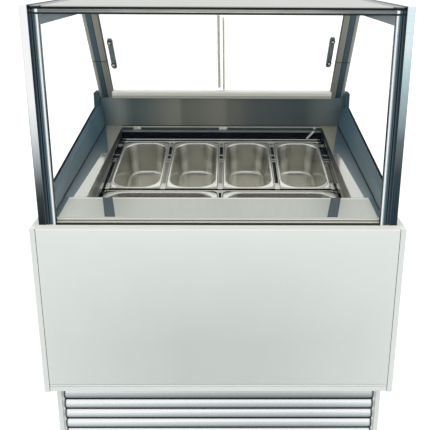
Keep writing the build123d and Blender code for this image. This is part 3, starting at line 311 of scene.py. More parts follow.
def ledge_steel(name):
    """Polished ledge: pale with fine streaks, a painted highlight along its rear edge, and painted slate
    reflections of the rear posts and coamings, which lean outwards to the rear."""
    aside, lean, lean_start = 8 * MM, 0.235, -0.30
    band_start, corner_start, rear_width = 0.314, 0.438, 9 * MM
    pale, dark = srgb(204, 206, 199), srgb(26, 36, 42)
    look = Look(name)
    across, back = look.axis("X"), look.axis("Y")
    middle = look.maths("ABSOLUTE", look.maths("SUBTRACT", across, aside))
    slant = look.maths("MULTIPLY", look.maths("SUBTRACT", back, lean_start), lean)
    out = look.maths("SUBTRACT", middle, slant)
    # Painted reflections of the rear posts, as slate bands
    posts = look.bands(out, [(band_start + width * MM, colour) for width, colour in (
        (-14, pale), (0, pale), (1.5, dark), (4.5, srgb(58, 78, 88)), (26, srgb(52, 72, 82)),
        (29, dark), (30.5, pale), (46, pale),
    )])
    in_band = look.bands(out, [(band_start + width * MM, grey(mark)) for width, mark in (
        (-14, 0), (0, 0), (1.5, 255), (29, 255), (30.5, 0), (46, 0),
    )])
    # Painted reflection of the coamings in the outer corners
    corner = look.step(look.axis("X", True), corner_start)
    streak = look.noise((220, 14, 60), 5.0, 0.65)
    tone = look.mix(posts, srgb(74, 98, 109), corner)
    plain = look.maths("MAXIMUM", in_band, corner)
    # Painted highlight along the rear edge
    rear_edge_highlight = look.step(back, corners("front_ledge")[1].y - rear_width)
    rear_edge_highlight = look.maths("MULTIPLY", rear_edge_highlight, look.spread(plain, 0.7, 0.0))
    tone = look.mix(tone, srgb(244, 246, 238), rear_edge_highlight)
    look.set("Base Color", look.vary(tone, streak, 0.09))
    look.set("Metallic", look.spread(plain, 0.55, 0.1))
    look.set("Roughness", look.spread(streak, 0.28, 0.4))
    look.bump(streak, 0.04)
    return look


# Shades: each builds the colour of one look, with bands along the object's own axes; most paint in light,
# shade or reflections

def ledge_front_shade(look):
    """Front face of the ledge: two bright lines of painted highlight with a dark one between them."""
    light, dark, pale = srgb(240, 241, 233), srgb(122, 120, 106), srgb(206, 208, 201)
    hidden_foot = 4.5 * MM
    return look.upward(corners("front_ledge")[0].z + hidden_foot, [
        (0, light), (1.6, light), (2.4, dark), (5.6, dark),
        (6.6, light), (9.4, light), (10.4, pale), (14, pale),
    ])


def gasket_shade(look):
    """Top of the gasket under the front glass: black, with a painted highlight along its inner edge."""
    line = corners("seals")[0].y + 7 * MM
    return look.mix(srgb(20, 23, 26), srgb(240, 240, 232), look.step(look.axis("Y"), line))


def pan_shade(look):
    """Pans, from the floor up: grey floor, painted highlights on the rounded floor edge and the rim, and
    walls with painted reflection streaks that follow which way they face.
    """
    floor, top = (corner.z for corner in extent("back_pan_1", PAN))
    tone = look.bands(look.off(PAN), [
        (floor, srgb(206, 204, 193)), (floor + 2.6 * MM, srgb(206, 204, 193)),
        (floor + 4.5 * MM, srgb(255, 255, 250)), (floor + 9 * MM, srgb(253, 253, 248)),
        (floor + 15 * MM, srgb(232, 231, 221)), (floor + 60 * MM, srgb(244, 243, 234)),
        (top - 12 * MM, srgb(248, 247, 238)), (top - 4 * MM, srgb(248, 247, 241)), (top, srgb(242, 241, 235)),
    ])
    # Painted reflection streaks on the walls, by which way each part faces
    normal = look.add("ShaderNodeTexCoord", "Normal")
    aside = look.maths("ABSOLUTE", look.add("ShaderNodeSeparateXYZ", "X", i0=normal))
    rising = look.maths("ABSOLUTE", look.add("ShaderNodeSeparateXYZ", "Z", i0=normal))
    streaks = look.bands(aside, [
        (0.0, grey(214)), (0.28, grey(210)), (0.50, grey(255)), (0.64, grey(255)), (0.86, grey(178)),
        (1.0, grey(220)),
    ])
    upright = look.maths("SUBTRACT", 1.0, look.step(rising, 0.5, 0.4))
    return look.mix(tone, look.mix(tone, streaks, 1.0, "MULTIPLY"), upright)


def panel_shade(look):
    """Front panel: painted shade, a little darker towards the lower middle, with a painted highlight along
    its upper edge.
    """
    top, foot, side, middle = 0.80, 0.44, 0.56, 0.10
    highlight_edge = corners("front_panel")[1].z - 11.5 * MM
    down = look.ramp(look.axis("Z"), top, foot)
    inside = look.ramp(look.axis("X", True), side, middle)
    depth = look.maths("MULTIPLY", look.maths("POWER", down, 0.8), look.maths("POWER", inside, 0.5))
    tone = look.mix(srgb(238, 244, 239), srgb(209, 215, 211), depth)
    return look.mix(tone, srgb(255, 255, 255), look.step(look.axis("Z"), highlight_edge, 1.5 * MM))


def panel_back_shade(look):
    """Inner faces of the end panels: painted shade in the seam at the front, white behind it."""
    seam_end = corners("right_end_panel")[0].y + 47.5 * MM
    return look.mix(srgb(22, 28, 32), srgb(236, 241, 237), look.step(look.axis("Y"), seam_end, 5 * MM))


def post_edge_shade(look, colour):
    """Painted shade on the outer edge of a front post, most of all low down."""
    edge = look.step(look.axis("X", True), POST_SIDE - 1.6 * MM)
    low = look.bands(look.axis("Z"), [
        (0.80, grey(255)), (1.08, grey(250)), (1.20, grey(150)), (1.40, grey(140)),
    ])
    return look.mix(colour, srgb(74, 80, 82), look.maths("MULTIPLY", edge, low))


def left_post_shade(look):
    """Left front post, by height, in painted reflections: dark at its foot and white from about its middle
    up.
    """
    return post_edge_shade(look, look.bands(look.axis("Z"), [
        (0.80, srgb(38, 44, 46)), (0.88, srgb(60, 66, 68)), (0.92, srgb(98, 104, 106)),
        (0.98, srgb(166, 173, 175)), (1.065, srgb(226, 233, 237)), (1.14, srgb(253, 254, 254)),
        (1.40, srgb(255, 255, 255)),
    ]))


def right_post_shade(look):
    """Right front post, by height, in painted reflections: slate at its foot and pale blue at its top."""
    return post_edge_shade(look, look.bands(look.axis("Z"), [
        (0.80, srgb(40, 56, 64)), (0.95, srgb(56, 70, 78)), (1.00, srgb(92, 99, 99)),
        (1.04, srgb(100, 112, 117)), (1.08, srgb(136, 154, 159)), (1.13, srgb(160, 175, 180)),
        (1.17, srgb(164, 190, 196)), (1.25, srgb(200, 226, 232)), (1.29, srgb(226, 244, 249)),
        (1.40, srgb(230, 247, 252)),
    ]))


def glazing_shade(look):
    """Glazing bars, from the bead outwards, in stripes of painted reflection and shade."""
    return look.outward(GLASS_SIDE, [
        (27, srgb(60, 76, 84)), (25.4, srgb(110, 124, 130)), (24, srgb(244, 248, 247)),
        (19, srgb(246, 250, 249)), (16.8, srgb(124, 142, 150)), (15.5, srgb(84, 106, 114)),
        (11, srgb(72, 96, 106)), (9.8, srgb(12, 26, 40)), (7.8, srgb(12, 26, 40)),
        (6.8, srgb(108, 116, 120)), (4.8, srgb(44, 60, 68)), (2.2, srgb(34, 50, 58)), (0, srgb(80, 90, 94)),
    ])


def rear_post_shade(look):
    """Rear posts, from the doors outwards, in stripes of painted reflection, with the seam between their two
    lengths.
    """
    seam = 1.152
    across = look.outward(GLASS_SIDE, [
        (50, srgb(158, 160, 150)), (32.4, srgb(160, 162, 152)), (31.2, srgb(40, 54, 62)),
        (29.4, srgb(42, 58, 68)), (28.4, srgb(66, 93, 107)), (13, srgb(66, 93, 107)),
        (11.5, srgb(56, 70, 76)), (10, srgb(160, 162, 153)), (1.5, srgb(180, 181, 171)),
        (0, srgb(110, 112, 108)),
    ])
    lines = look.upward(seam, [(-2, grey(255)), (-1, grey(110)), (1, grey(110)), (2, grey(255))])
    return look.mix(across, lines, 1.0, "MULTIPLY")


def rail_shade(look):
    """Top front rail, in painted reflections: pale in the middle, slate towards the ends, with a dark line of
    painted shade above and below and bright lines of painted highlight between. The glazing bars' painted
    stripes run on over its ends."""
    low, high = (corner.z for corner in corners("top_front_rail"))
    top = (high - low) / MM
    across = look.bands(look.axis("X", True), [
        (0.0, srgb(190, 193, 186)), (0.22, srgb(182, 186, 180)), (0.33, srgb(142, 149, 151)),
        (0.47, srgb(132, 140, 143)),
    ])
    lines = look.upward(low, [
        (0, grey(40)), (4.4, grey(40)), (5.2, grey(252)), (8.5, grey(236)), (9.3, grey(185)),
        (10.4, grey(190)), (11.2, grey(255)), (top - 3, grey(255)), (top - 2.2, grey(50)), (top, grey(40)),
    ])
    between = look.mix(across, lines, 1.0, "MULTIPLY")
    return look.mix(between, glazing_shade(look), look.step(look.axis("X", True), GLASS_SIDE - 26.5 * MM))


def track_shade(look):
    """Rear bottom track: bright above, grey below the groove."""
    low, high = (corner.z for corner in corners("rear_bottom_track"))
    return look.upward(low, [
        (0, srgb(92, 94, 92)), (2, srgb(186, 186, 174)), (10, srgb(170, 172, 166)), (12, srgb(238, 238, 230)),
        (19, srgb(232, 232, 222)), (20.5, srgb(250, 250, 244)), ((high - low) / MM, srgb(250, 250, 246)),
    ])


def coaming_shade(look):
    """Coamings: slate, with painted light making it lighter towards the front, and a black outer edge of
    painted shade.
    """
    along = look.bands(look.axis("Y"), [
        (-0.40, srgb(128, 144, 150)), (-0.10, srgb(122, 142, 150)), (0.08, srgb(110, 138, 150)),
        (0.20, srgb(82, 117, 134)), (0.42, srgb(84, 122, 139)),
    ])
    return look.mix(along, srgb(22, 30, 36), look.step(look.axis("X", True), POST_SIDE - 5 * MM))


def coaming_top_shade(look):
    """Upper faces of the coamings: the sides' painted light set darker, with a black outer edge of painted
    shade.
    """
    along = look.bands(look.axis("Y"), [
        (-0.40, srgb(104, 119, 125)), (0.08, srgb(86, 108, 118)), (0.20, srgb(62, 88, 100)),
        (0.42, srgb(60, 86, 98)),
    ])
    return look.mix(along, srgb(14, 20, 24), look.step(look.axis("X", True), POST_SIDE - 8 * MM))


def top_shade(look):
    """Top panel: pale sheet with grey painted reflections and dark lines along each side, and painted shade
    along its lower edge.
    """
    low, high = (corner.z for corner in corners("top_panel"))
    edge = look.upward(low, [(0, grey(45)), (2.2, grey(45)), (3, grey(255)), ((high - low) / MM, grey(255))])
    sheet = look.outward(GLASS_SIDE, [
        (69, srgb(190, 193, 186)), (35, srgb(192, 195, 188)), (33.5, srgb(56, 62, 66)),
        (31, srgb(52, 58, 62)), (29, srgb(124, 130, 130)), (9, srgb(132, 137, 138)),
        (7, srgb(44, 50, 54)), (0, srgb(40, 46, 50)),
    ])
    return look.mix(sheet, edge, 1.0, "MULTIPLY")


def wall_shade(look):
    """Back wall: painted soft upright reflections across the width."""
    return look.bands(look.axis("X"), [
        (-0.47, srgb(74, 98, 108)), (-0.40, srgb(140, 148, 146)), (-0.34, srgb(94, 108, 112)),
        (-0.17, srgb(144, 146, 134)), (-0.15, srgb(120, 122, 114)), (0.0, srgb(138, 140, 130)),
        (0.03, srgb(118, 120, 114)), (0.14, srgb(88, 97, 99)), (0.31, srgb(78, 90, 94)),
        (0.39, srgb(110, 120, 120)), (0.47, srgb(88, 106, 114)),
    ], "EASE")


def slat_shade(look):
    """Louvre slats in painted light and shade: bright along the top of each slat and dark at its foot, a
    painted shadow over the upper slats, lighter towards both ends of the row, and dark shade at the ends.
    """
    pitches, shaded_pitches, shadow = 5.94, 1.9, 0.30
    low, high = corners("louvre_slats")
    pitch = (high.z - low.z) / pitches
    rows = look.maths("DIVIDE", look.maths("SUBTRACT", look.axis("Z"), low.z), pitch)
    slope = look.bands(look.maths("FRACT", rows), [
        (0.0, srgb(14, 18, 20)), (0.04, srgb(40, 45, 47)), (0.08, srgb(92, 98, 100)),
        (0.16, srgb(136, 142, 144)), (0.32, srgb(174, 180, 183)), (0.55, srgb(206, 212, 215)),
        (0.72, srgb(246, 250, 251)), (0.80, srgb(246, 250, 251)), (0.87, srgb(70, 75, 77)),
        (0.91, srgb(18, 22, 24)), (1.0, srgb(14, 18, 20)),
    ])
    # Painted shadow over the upper slats
    upper = look.step(look.axis("Z"), high.z - shaded_pitches * pitch, 8 * MM)
    slope = look.mix(slope, srgb(20, 24, 26), look.spread(upper, 0.0, shadow))
    # Painted light, stronger towards both ends of the row
    glow = look.bands(look.axis("X"), [
        (-0.47, grey(150)), (-0.28, grey(126)), (-0.08, grey(84)), (0.08, grey(40)), (0.28, grey(40)),
        (0.47, grey(112)),
    ])
    slope = look.mix(slope, glow, 1.0, "DODGE")
    # Painted shade where the slats meet the plinth's sides
    end = look.step(look.axis("X", True), high.x - 5 * MM, 4 * MM)
    return look.mix(slope, srgb(66, 72, 75), end)


def frame_shade(look):
    """Top of the pan frame: lips between the pans bright as painted highlights, and side bars dark as painted
    shade, with thin bright lines of painted highlight.
    Stops are in mm inside the frame's side."""
    dark, line, lip_tone = srgb(6, 14, 26), srgb(206, 209, 204), srgb(206, 206, 196)
    strip = srgb(122, 120, 110)
    rear_start, rear_end = 0.10, 0.12
    side = corners("pan_frame")[1].x
    left = [
        (0, line), (1.2, dark), (5.4, dark), (6.2, line), (7.6, line), (8.4, dark),
        (19.8, dark), (20.8, line), (22.4, line), (23.2, dark), (26, dark), (27, lip_tone),
    ]
    right = [
        (27, lip_tone), (26, strip), (15.5, srgb(134, 131, 120)), (14.8, dark),
        (11.4, dark), (10.6, strip), (1.5, srgb(130, 128, 117)), (0, line),
    ]
    stops = [(inset * MM - side, colour) for inset, colour in left]
    stops += [(side - inset * MM, colour) for inset, colour in right]
    front = look.bands(look.axis("X"), stops)
    back = look.outward(side, [(28, lip_tone), (26, dark), (2, dark), (0, line)])
    return look.mix(front, back, look.ramp(look.axis("Y"), rear_start, rear_end))


def well_side_shade(look):
    """Side walls of the well in painted shade: dark at the rear, lighter towards the front."""
    return look.bands(look.axis("Y"), [
        (-0.28, srgb(160, 160, 152)), (-0.12, srgb(132, 132, 125)), (0.02, srgb(104, 106, 102)),
        (0.16, srgb(84, 87, 85)), (0.30, srgb(52, 58, 60)), (0.38, srgb(22, 32, 42)),
    ])


def outlet_shade(look):
    """Face of the air outlet: slate with a painted highlight along its upper edge."""
    return look.upward(corners("air_outlet")[1].z, [
        (-5.5, srgb(70, 82, 88)), (-4.5, srgb(226, 227, 219)), (0, srgb(226, 227, 219)),
    ])


def lip_shade(look):
    """Inner lips of the decks: the well walls' painted shade, with a painted highlight along the upper edge.
    """
    return look.mix(well_side_shade(look), srgb(236, 236, 228), look.step(look.off(DECK), -3 * MM))


# Looks

white = coat("white_paint", srgb(236, 241, 237))
panel_white = coat("panel_paint", panel_shade)
left_post = metal("left_post_metal", left_post_shade, 0.35, (160, 160, 10), 0.02)
right_post = metal("right_post_metal", right_post_shade, 0.35, (190, 190, 120), 0.14)
frame_white = coat("frame_white", srgb(246, 248, 246), 0.3, 0.02)
frame_slate = metal("frame_slate", srgb(98, 116, 124), 0.35, (30, 12, 120), 0.08)
glazing = metal("glazing_metal", glazing_shade, 0.25, (30, 30, 4), 0.04)
rear_post = metal("rear_post_metal", rear_post_shade, 0.35, (90, 10, 10), 0.06, share=0.3)
rail = metal("rail_metal", rail_shade, 0.22, (14, 30, 260), 0.4)
track = metal("track_metal", track_shade, 0.35, (8, 30, 60), 0.06, share=0.2)
# Dark painted shade for the recessed faces of the top front rail
groove = coat("groove_shade", srgb(22, 28, 32), 0.5)
panel_back = coat("panel_back", panel_back_shade, 0.5)
top_sheet = metal("top_sheet", top_shade, 0.3, (160, 6, 60), 0.05)
alloy = metal("aluminium", srgb(196, 199, 194), 0.3, (8, 60, 200), 0.12)
slats = metal("slat_metal", slat_shade, 0.4, (190, 190, 240), 0.16, relief=0.3)
ledge = ledge_steel("ledge_steel")
ledge_front = coat("ledge_front", ledge_front_shade, 0.5)
sill = coat("sill_paint", srgb(221, 222, 213), 0.4)
deck = deck_steel("deck_steel")
chrome = metal("chrome", srgb(216, 216, 208), 0.15, (60, 60, 60), 0.1, relief=0.03, share=0.4)
wall = metal("back_wall_steel", wall_shade, 0.4, (240, 240, 4), 0.2, share=0.25)
slate = metal("coaming_steel", coaming_shade, 0.4, (12, 30, 260), 0.05, share=0.15)
slate_top = coat("coaming_top", coaming_top_shade, 0.8, specular=0.1)
slate_dark = coat("coaming_end", srgb(58, 80, 92), 0.7, specular=0.1)
# Black painted shade: the gap along the top of the air outlet and the cells in the pan frame's channels
black_shade = metal("black_shade", srgb(5, 10, 16), 0.4, (30, 30, 30), 0.2, specular=0.1)
# Dark navy painted shade for the deep well, and the base of the air outlet and the pan frame
well_shade_navy = metal("painted_well_shade", srgb(7, 22, 42), 0.35, (8, 60, 60), 0.25, share=0.3, specular=0.1)
frame_top = metal("frame_top", frame_shade, 0.22, (60, 8, 60), 0.05, relief=0.02, share=0.4, specular=0.15)
frame_grey = metal("frame_grey", srgb(52, 58, 62), 0.3, (8, 60, 60), 0.12, share=0.3)
taupe = metal("strip_steel", srgb(140, 137, 125), 0.3, (60, 8, 60), 0.12, share=0.4)
bright = metal("bright_steel", srgb(232, 232, 224), 0.2, (50, 50, 50), 0.06, relief=0.03, share=0.3)
well_side = metal("well_side_steel", well_side_shade, 0.3, (30, 10, 160), 0.12, share=0.3)
lip = metal("lip_steel", lip_shade, 0.3, (30, 10, 160), 0.06, share=0.3)
outlet_slate = metal("outlet_steel", outlet_shade, 0.3, (6, 60, 200), 0.2, share=0.5)
screen = coat("screen", srgb(14, 16, 20), 0.12)
key_grey = coat("key_plastic", srgb(150, 152, 154), 0.4)
brushed = metal("brushed_steel", srgb(150, 152, 148), 0.28, (8, 240, 240), 0.15)
pan_steel = metal("pan_steel", pan_shade, 0.24, (140, 140, 9), 0.03, relief=0.0, share=0.85, wear=0.03)
rubber = coat("seal_rubber", srgb(20, 23, 26), 0.6)
gasket_top = coat("gasket_top", gasket_shade, 0.5)
black = coat("black_plastic", srgb(32, 34, 36), 0.45)
beige = frosted("strip_plastic", srgb(226, 222, 196), tint=(0.99, 0.99, 0.955, 1.0), clear=0.88)
dark_paint = coat("dark_paint", srgb(40, 42, 44), 0.4)
zinc = metal("galvanised", srgb(178, 182, 184), 0.4, (25, 25, 25), 0.2)
fins = metal("fin_metal", srgb(196, 198, 200), 0.35, (300, 300, 20), 0.2)
copper = metal("copper_pipe", srgb(196, 120, 84), 0.25, (60, 60, 60), 0.15)
foam = coat("foam_body", srgb(226, 220, 196), 0.6)
handle = metal("handle_chrome", srgb(160, 171, 177), 0.25, (40, 40, 40), 0.15, share=0.4)
clip = coat("clip_steel", srgb(250, 250, 246), 0.25)
glass = clear_glass("glass", tint=(0.998, 1.0, 0.998, 1.0), mirror=0.003)


# Tests for faces, by centre and normal

def faces(axis, sign):
    """A test for faces that look along one axis."""
    return lambda centre, normal: normal["XYZ".index(axis)] * sign > FACING


def level(low, high):
    """A test for faces that look up, at a level in mm off the pan frame's top."""
    return lambda centre, normal: normal.z > STRAIGHT and low < (OFF_PAN @ centre).z / MM < high


def inward(centre, normal):
    """Faces that look towards the middle, from either side."""
    least = 0.45
    return normal.x * math.copysign(1, centre.x) < -least


def well_wall(centre, normal):
    """Side walls of the tub's liner."""
    return abs(normal.x) > FACING


def rail_groove(centre, normal):
    """Faces of the top front rail that lie behind its front or look up or down; they take painted shade."""
    front = corners("top_front_rail")[0].y + 4.5 * MM
    return abs(normal.z) > STRAIGHT or centre.y > front


def hood_face(centre, normal):
    """Upright face of the air outlet, behind its front edge."""
    front = corners("air_outlet")[0].y + 4 * MM
    return normal.y < -FACING and centre.y > front


def hood_lip(centre, normal):
    """Sloping lip of the air outlet, which looks up and to the front."""
    least_front, least_up = 0.2, 0.3
    return normal.y < -least_front and normal.z > least_up


def rear_channel(centre, normal):
    """Floor of the channel behind the pans."""
    start = 0.28
    return level(-9, -7)(centre, normal) and (OFF_PAN @ centre).y > start


def front_gasket(centre, normal):
    """Top of the gasket under the front glass."""
    end = corners("seals")[0].y + 15 * MM
    return normal.z > STRAIGHT and centre.y < end


# Looks of the CAD nodes

paint("front_panel", panel_white, (sill, faces("Z", 1)))
paint("front_trim rear_panel rear_cover", white)
paint("left_end_panel right_end_panel", white, (panel_back, inward))
paint("left_plinth_panel right_plinth_panel", white)
paint("control_panel fan_bulkhead", brushed)
paint("tub_liner", well_shade_navy, (well_side, well_wall))
paint("louvre_slats", slats)
paint("left_side_frame", left_post, (frame_white, faces("Z", 1)), (frame_slate, inward))
paint("right_side_frame", right_post, (frame_white, faces("Z", 1)), (frame_slate, inward))
paint("left_glazing_bar right_glazing_bar", glazing)
paint("top_front_rail", rail, (groove, rail_groove))
paint("top_panel", top_sheet, (white, faces("Z", -1)))
paint("rear_top_rail", alloy)
paint("rear_bottom_track", track)
paint("left_rear_post right_rear_post", rear_post)
paint("front_ledge", ledge, (ledge_front, faces("Y", -1)))
paint("side_decks", deck, (lip, inward))
paint("air_outlet", well_shade_navy, (outlet_slate, hood_face), (alloy, hood_lip), (black_shade, faces("Z", 1)))
paint("probe_clip", clip)
paint("pan_frame", well_shade_navy, (frame_top, level(-0.2, 0.2)), (frame_grey, rear_channel))
paint("left_door_handle right_door_handle", handle)
paint("left_coaming right_coaming", slate, (slate_top, faces("Z", 1)), (slate_dark, faces("Y", -1)))
paint("back_wall", wall)
paint(" ".join(pan_names), pan_steel)
paint("seals", rubber, (gasket_top, front_gasket))
paint("cable_gland", rubber)
paint("levelling_feet base_frame", zinc)
paint("temperature_controller switch_body power_switch evaporator_fan condenser_fan fan_motors", black)
paint("left_door_strip right_door_strip", beige)
paint("compressor", dark_paint)
paint("evaporator condenser", fins)
paint("refrigerant_pipes", copper)
paint("insulated_tub", foam)
paint("left_side_glass right_side_glass front_glass left_door_glass right_door_glass", glass)


# Modelled pieces

def piece(name, work, place, look, body):
    """Turn a bmesh into a painted piece that rides on a body."""
    crease = math.radians(40)
    bmesh.ops.transform(work, matrix=place, verts=work.verts)
    bmesh.ops.recalc_face_normals(work, faces=work.faces)
    mesh = bpy.data.meshes.new(name)
    work.to_mesh(mesh)
    work.free()
    mesh.materials.append(look.material)
    mesh.shade_smooth()
    mesh.set_sharp_from_angle(angle=crease)
    made = bpy.data.objects.new(name, mesh)
    bpy.context.collection.objects.link(made)
    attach(made, body)
    return made


def block(work, centre, size, rounding=0.5 * MM):
    """Add a block with softened edges."""
    sides = Matrix.Diagonal((*size, 1))
    made = bmesh.ops.create_cube(work, size=1, matrix=Matrix.Translation(centre) @ sides)
    edges = {edge for vertex in made["verts"] for edge in vertex.link_edges}
    bmesh.ops.bevel(work, geom=list(edges), offset=rounding, segments=2, profile=0.6, affect="EDGES")


def loft(work, rings, place=Matrix(), caps=(False, False)):
    """Join closed rings of points into a skin, with a face over the first or the last ring if asked."""
    rows = [[work.verts.new(place @ Vector(point)) for point in ring] for ring in rings]
    for low, high in zip(rows, rows[1:]):
        for k in range(len(low)):
            work.faces.new((low[k - 1], low[k], high[k], high[k - 1]))
    for row, wanted in zip((rows[0], rows[-1]), caps):
        if wanted:
            work.faces.new(row)


def dome(work, centre, radius, height, axis):
    """Add a low domed disc, such as a screw head, that rises along an axis."""
    profile = ((1.0, 0.0), (1.0, 0.35), (0.85, 0.72), (0.5, 0.95))
    steps = 20
    turn = Vector(axis).to_track_quat("Z", "Y").to_matrix().to_4x4()
    place = Matrix.Translation(centre) @ turn
    angles = [math.tau * step / steps for step in range(steps)]
    rings = [
        [(radius * out * math.cos(angle), radius * out * math.sin(angle), height * up) for angle in angles]
        for out, up in profile
    ]
    loft(work, rings, place, caps=(True, True))


def rounded_ring(across, along, radius, height, steps=10):
    """Points of a rectangle with rounded corners at one height."""
    points = []
    for corner, (x_sign, y_sign) in enumerate(((1, 1), (-1, 1), (-1, -1), (1, -1))):
        for step in range(steps + 1):
            angle = math.radians(90 * (corner + step / steps))
            x = x_sign * (across / 2 - radius) + radius * math.cos(angle)
            y = y_sign * (along / 2 - radius) + radius * math.sin(angle)
            points.append((x, y, height))
    return points


def pan_profile(depth):
    """Inside of a pan from the rim's edge to the floor: (inset, height, corner radius) of each ring."""
    rim, rim_drop, rim_rounding, rim_corner = 7.5 * MM, 1.0 * MM, 0.4 * MM, 20 * MM
    roll, floor_round, wall_corner = 4 * MM, 13 * MM, 58 * MM
    taper = math.radians(5)
    bend = math.pi / 2 - taper
    steps = 6
    rows = [(0.0, -rim_drop), (0.0, -rim_rounding), (rim_rounding, 0.0)]
    rows = [(inset, height, rim_corner) for inset, height in rows]
    for step in range(steps + 1):
        angle = bend * step / steps
        rows.append((rim - roll + roll * math.sin(angle), -roll * (1 - math.cos(angle)), wall_corner))
    wall_drop = depth - floor_round - roll
    for share in (0.33, 0.66):
        rows.append((rim + share * wall_drop * math.tan(taper), -roll - share * wall_drop, wall_corner))
    wall_foot = rim + wall_drop * math.tan(taper)
    for step in range(steps + 1):
        angle = taper + bend * step / steps
        inset = wall_foot + floor_round * (1 - math.cos(angle))
        rows.append((inset, -depth + floor_round * (1 - math.sin(angle)), wall_corner))
    rows.append((wall_foot + 2 * floor_round, -depth, wall_corner))
    return [
        (inset, height, max(radius - max(0.0, inset - rim), rim_corner))
        for inset, height, radius in rows
    ]


def pans():
    """Drawn steel pans with a rolled rim, tapered walls and a rounded floor edge."""
    sheet = 0.9 * MM
    for name in pan_names:
        low, high = extent(name, PAN)
        across, along = high.x - low.x, high.y - low.y
        work = bmesh.new()
        rings = [
            rounded_ring(across - 2 * inset, along - 2 * inset, radius, height)
            for inset, height, radius in pan_profile(high.z - low.z - sheet)
        ]
        loft(work, rings, caps=(False, True))
        centre = Vector(((low.x + high.x) / 2, (low.y + high.y) / 2, high.z))
        made = piece(name + "_steel", work, PAN @ Matrix.Translation(centre), pan_steel, name)
        thickness = made.modifiers.new("sheet", "SOLIDIFY")
        thickness.thickness = sheet
        thickness.offset = -1
        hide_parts(name)


def frame_fittings():
    """Rails, cross straps, cover strips, front tabs and black cells of painted shade in the channels of the
    pan frame.
    Places and sizes are in mm: across, up the slope and off the frame's top."""
    def bar(work, centre, size):
        block(work, Vector(centre) * MM, Vector(size) * MM)

    back_pans = [extent(name, PAN) for name in pan_names if name.startswith("back")]
    middles = sorted((low.x + high.x) / 2 / MM for low, high in back_pans)
    gaps = [(left + right) / 2 for left, right in zip(middles, middles[1:])]
    side_bar = 376.5
    strap_places, rail_places = (262, 249, 172, 137, 121), (286, 311.5)
    strip_place, tab_place, cell_place = 36, -70, 299
    strap, side_rail, rear_rail, cell = (12, 5, 3), (26, 2.4, 3), (750, 2.6, 3), (9, 21, 2)
    strip_widths = [(gap, 11.5) for gap in gaps[:2]] + [(372.5, 6), (381.5, 6)]
    tab_widths = [(gap, 15) for gap in gaps] + [(366.5, 10), (385.5, 8), (-366.5, 12), (-385.5, 8)]
    rails, cells, straps, strips, tabs = (bmesh.new() for _ in range(5))
    for up in strap_places:
        for gap in gaps:
            bar(straps, (gap, up, -1.6), strap)
        for side in (-1, 1):
            bar(rails, (side * side_bar, up, -1.2), side_rail)
    for middle, width in strip_widths:
        bar(strips, (middle, strip_place, -2), (width, 164, 2))
    for middle, width in tab_widths:
        bar(tabs, (middle, tab_place, 0.6), (width, 40, 2.4))
    for up in rail_places:
        bar(rails, (0, up, -1.2), rear_rail)
    # Black cells of painted shade in the channel behind the pans
    for gap in gaps:
        bar(cells, (gap, cell_place, -2), cell)
    piece("frame_rails", rails, PAN, bright, "cabinet")
    piece("frame_cell_shade", cells, PAN, black_shade, "cabinet")
    piece("frame_straps", straps, PAN, chrome, "cabinet")
    piece("frame_strips", strips, PAN, taupe, "cabinet")
    piece("frame_tabs", tabs, PAN, bright, "cabinet")


def deck_beads():
    """Black bead along the foot of each coaming."""
    width, height, gap, rounding = 5 * MM, 4 * MM, 3 * MM, 1 * MM
    low, high = corners("side_decks")
    size = (width, high.y - low.y, height)
    beads = bmesh.new()
    for side in (-1, 1):
        block(beads, (side * (high.x + gap), (low.y + high.y) / 2, 0), size, rounding)
    piece("deck_beads", beads, DECK, rubber, "cabinet")


def outlet_fittings():
    """Brackets with two screws on the air outlet's face, the knob of the probe clip, and a stud on each
    side wall of the well."""
    forward = (0, -1, 0)
    low, high = corners("air_outlet")
    face, middle = low.y + 9 * MM, high.z - 9 * MM
    bracket, bracket_places, screw_offset = Vector((30, 2, 12)) * MM, (-330 * MM, 4 * MM), 8 * MM
    knob_place = (361 * MM, face, high.z - 6 * MM)
    stud_place = Vector((389.5, -76, 842)) * MM
    # Radius and height of the round ones
    screw, knob, stud = Vector((3.6, 1.8)) * MM, Vector((6, 4)) * MM, Vector((4, 2.5)) * MM
    brackets = bmesh.new()
    for across in bracket_places:
        block(brackets, (across, face, middle), bracket)
        for side in (-1, 1):
            dome(brackets, (across + side * screw_offset, face - 1 * MM, middle), *screw, forward)
    dome(brackets, knob_place, *knob, forward)
    for side in (-1, 1):
        dome(brackets, (side * stud_place.x, stud_place.y, stud_place.z), *stud, (-side, 0, 0))
    piece("outlet_brackets", brackets, Matrix(), bright, "cabinet")


def clip_face():
    """Flat face of the probe clip, along its slope."""
    inset, thick, width, rounding = 3.5 * MM, 1.6 * MM, 7.5 * MM, 0.6 * MM
    low, high = corners("probe_clip")
    run = Vector((high.x - low.x - 2 * inset, 0, high.z - low.z - 2 * inset))
    slope = Matrix.Rotation(-math.atan2(run.z, run.x), 4, "Y")
    centre = Vector(((low.x + high.x) / 2, low.y, (low.z + high.z) / 2))
    work = bmesh.new()
    block(work, (0, 0, 0), (run.length, thick, width), rounding)
    piece("probe_clip_face", work, Matrix.Translation(centre) @ slope, clip, "cabinet")


def wide_strip():
    """The wider edge strip of the right door, made from the narrow one."""
    widening = 1.6
    work = bmesh.new()
    work.from_mesh(nodes["right_door_strip"].data)
    low, high = corners("right_door_strip")
    middle = Matrix.Translation(((low.x + high.x) / 2, 0, 0))
    wider = middle @ Matrix.Diagonal((widening, 1, 1, 1)) @ middle.inverted()
    made = piece("right_door_strip_wide", work, wider, beige, "right_door")
    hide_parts("right_door_strip")


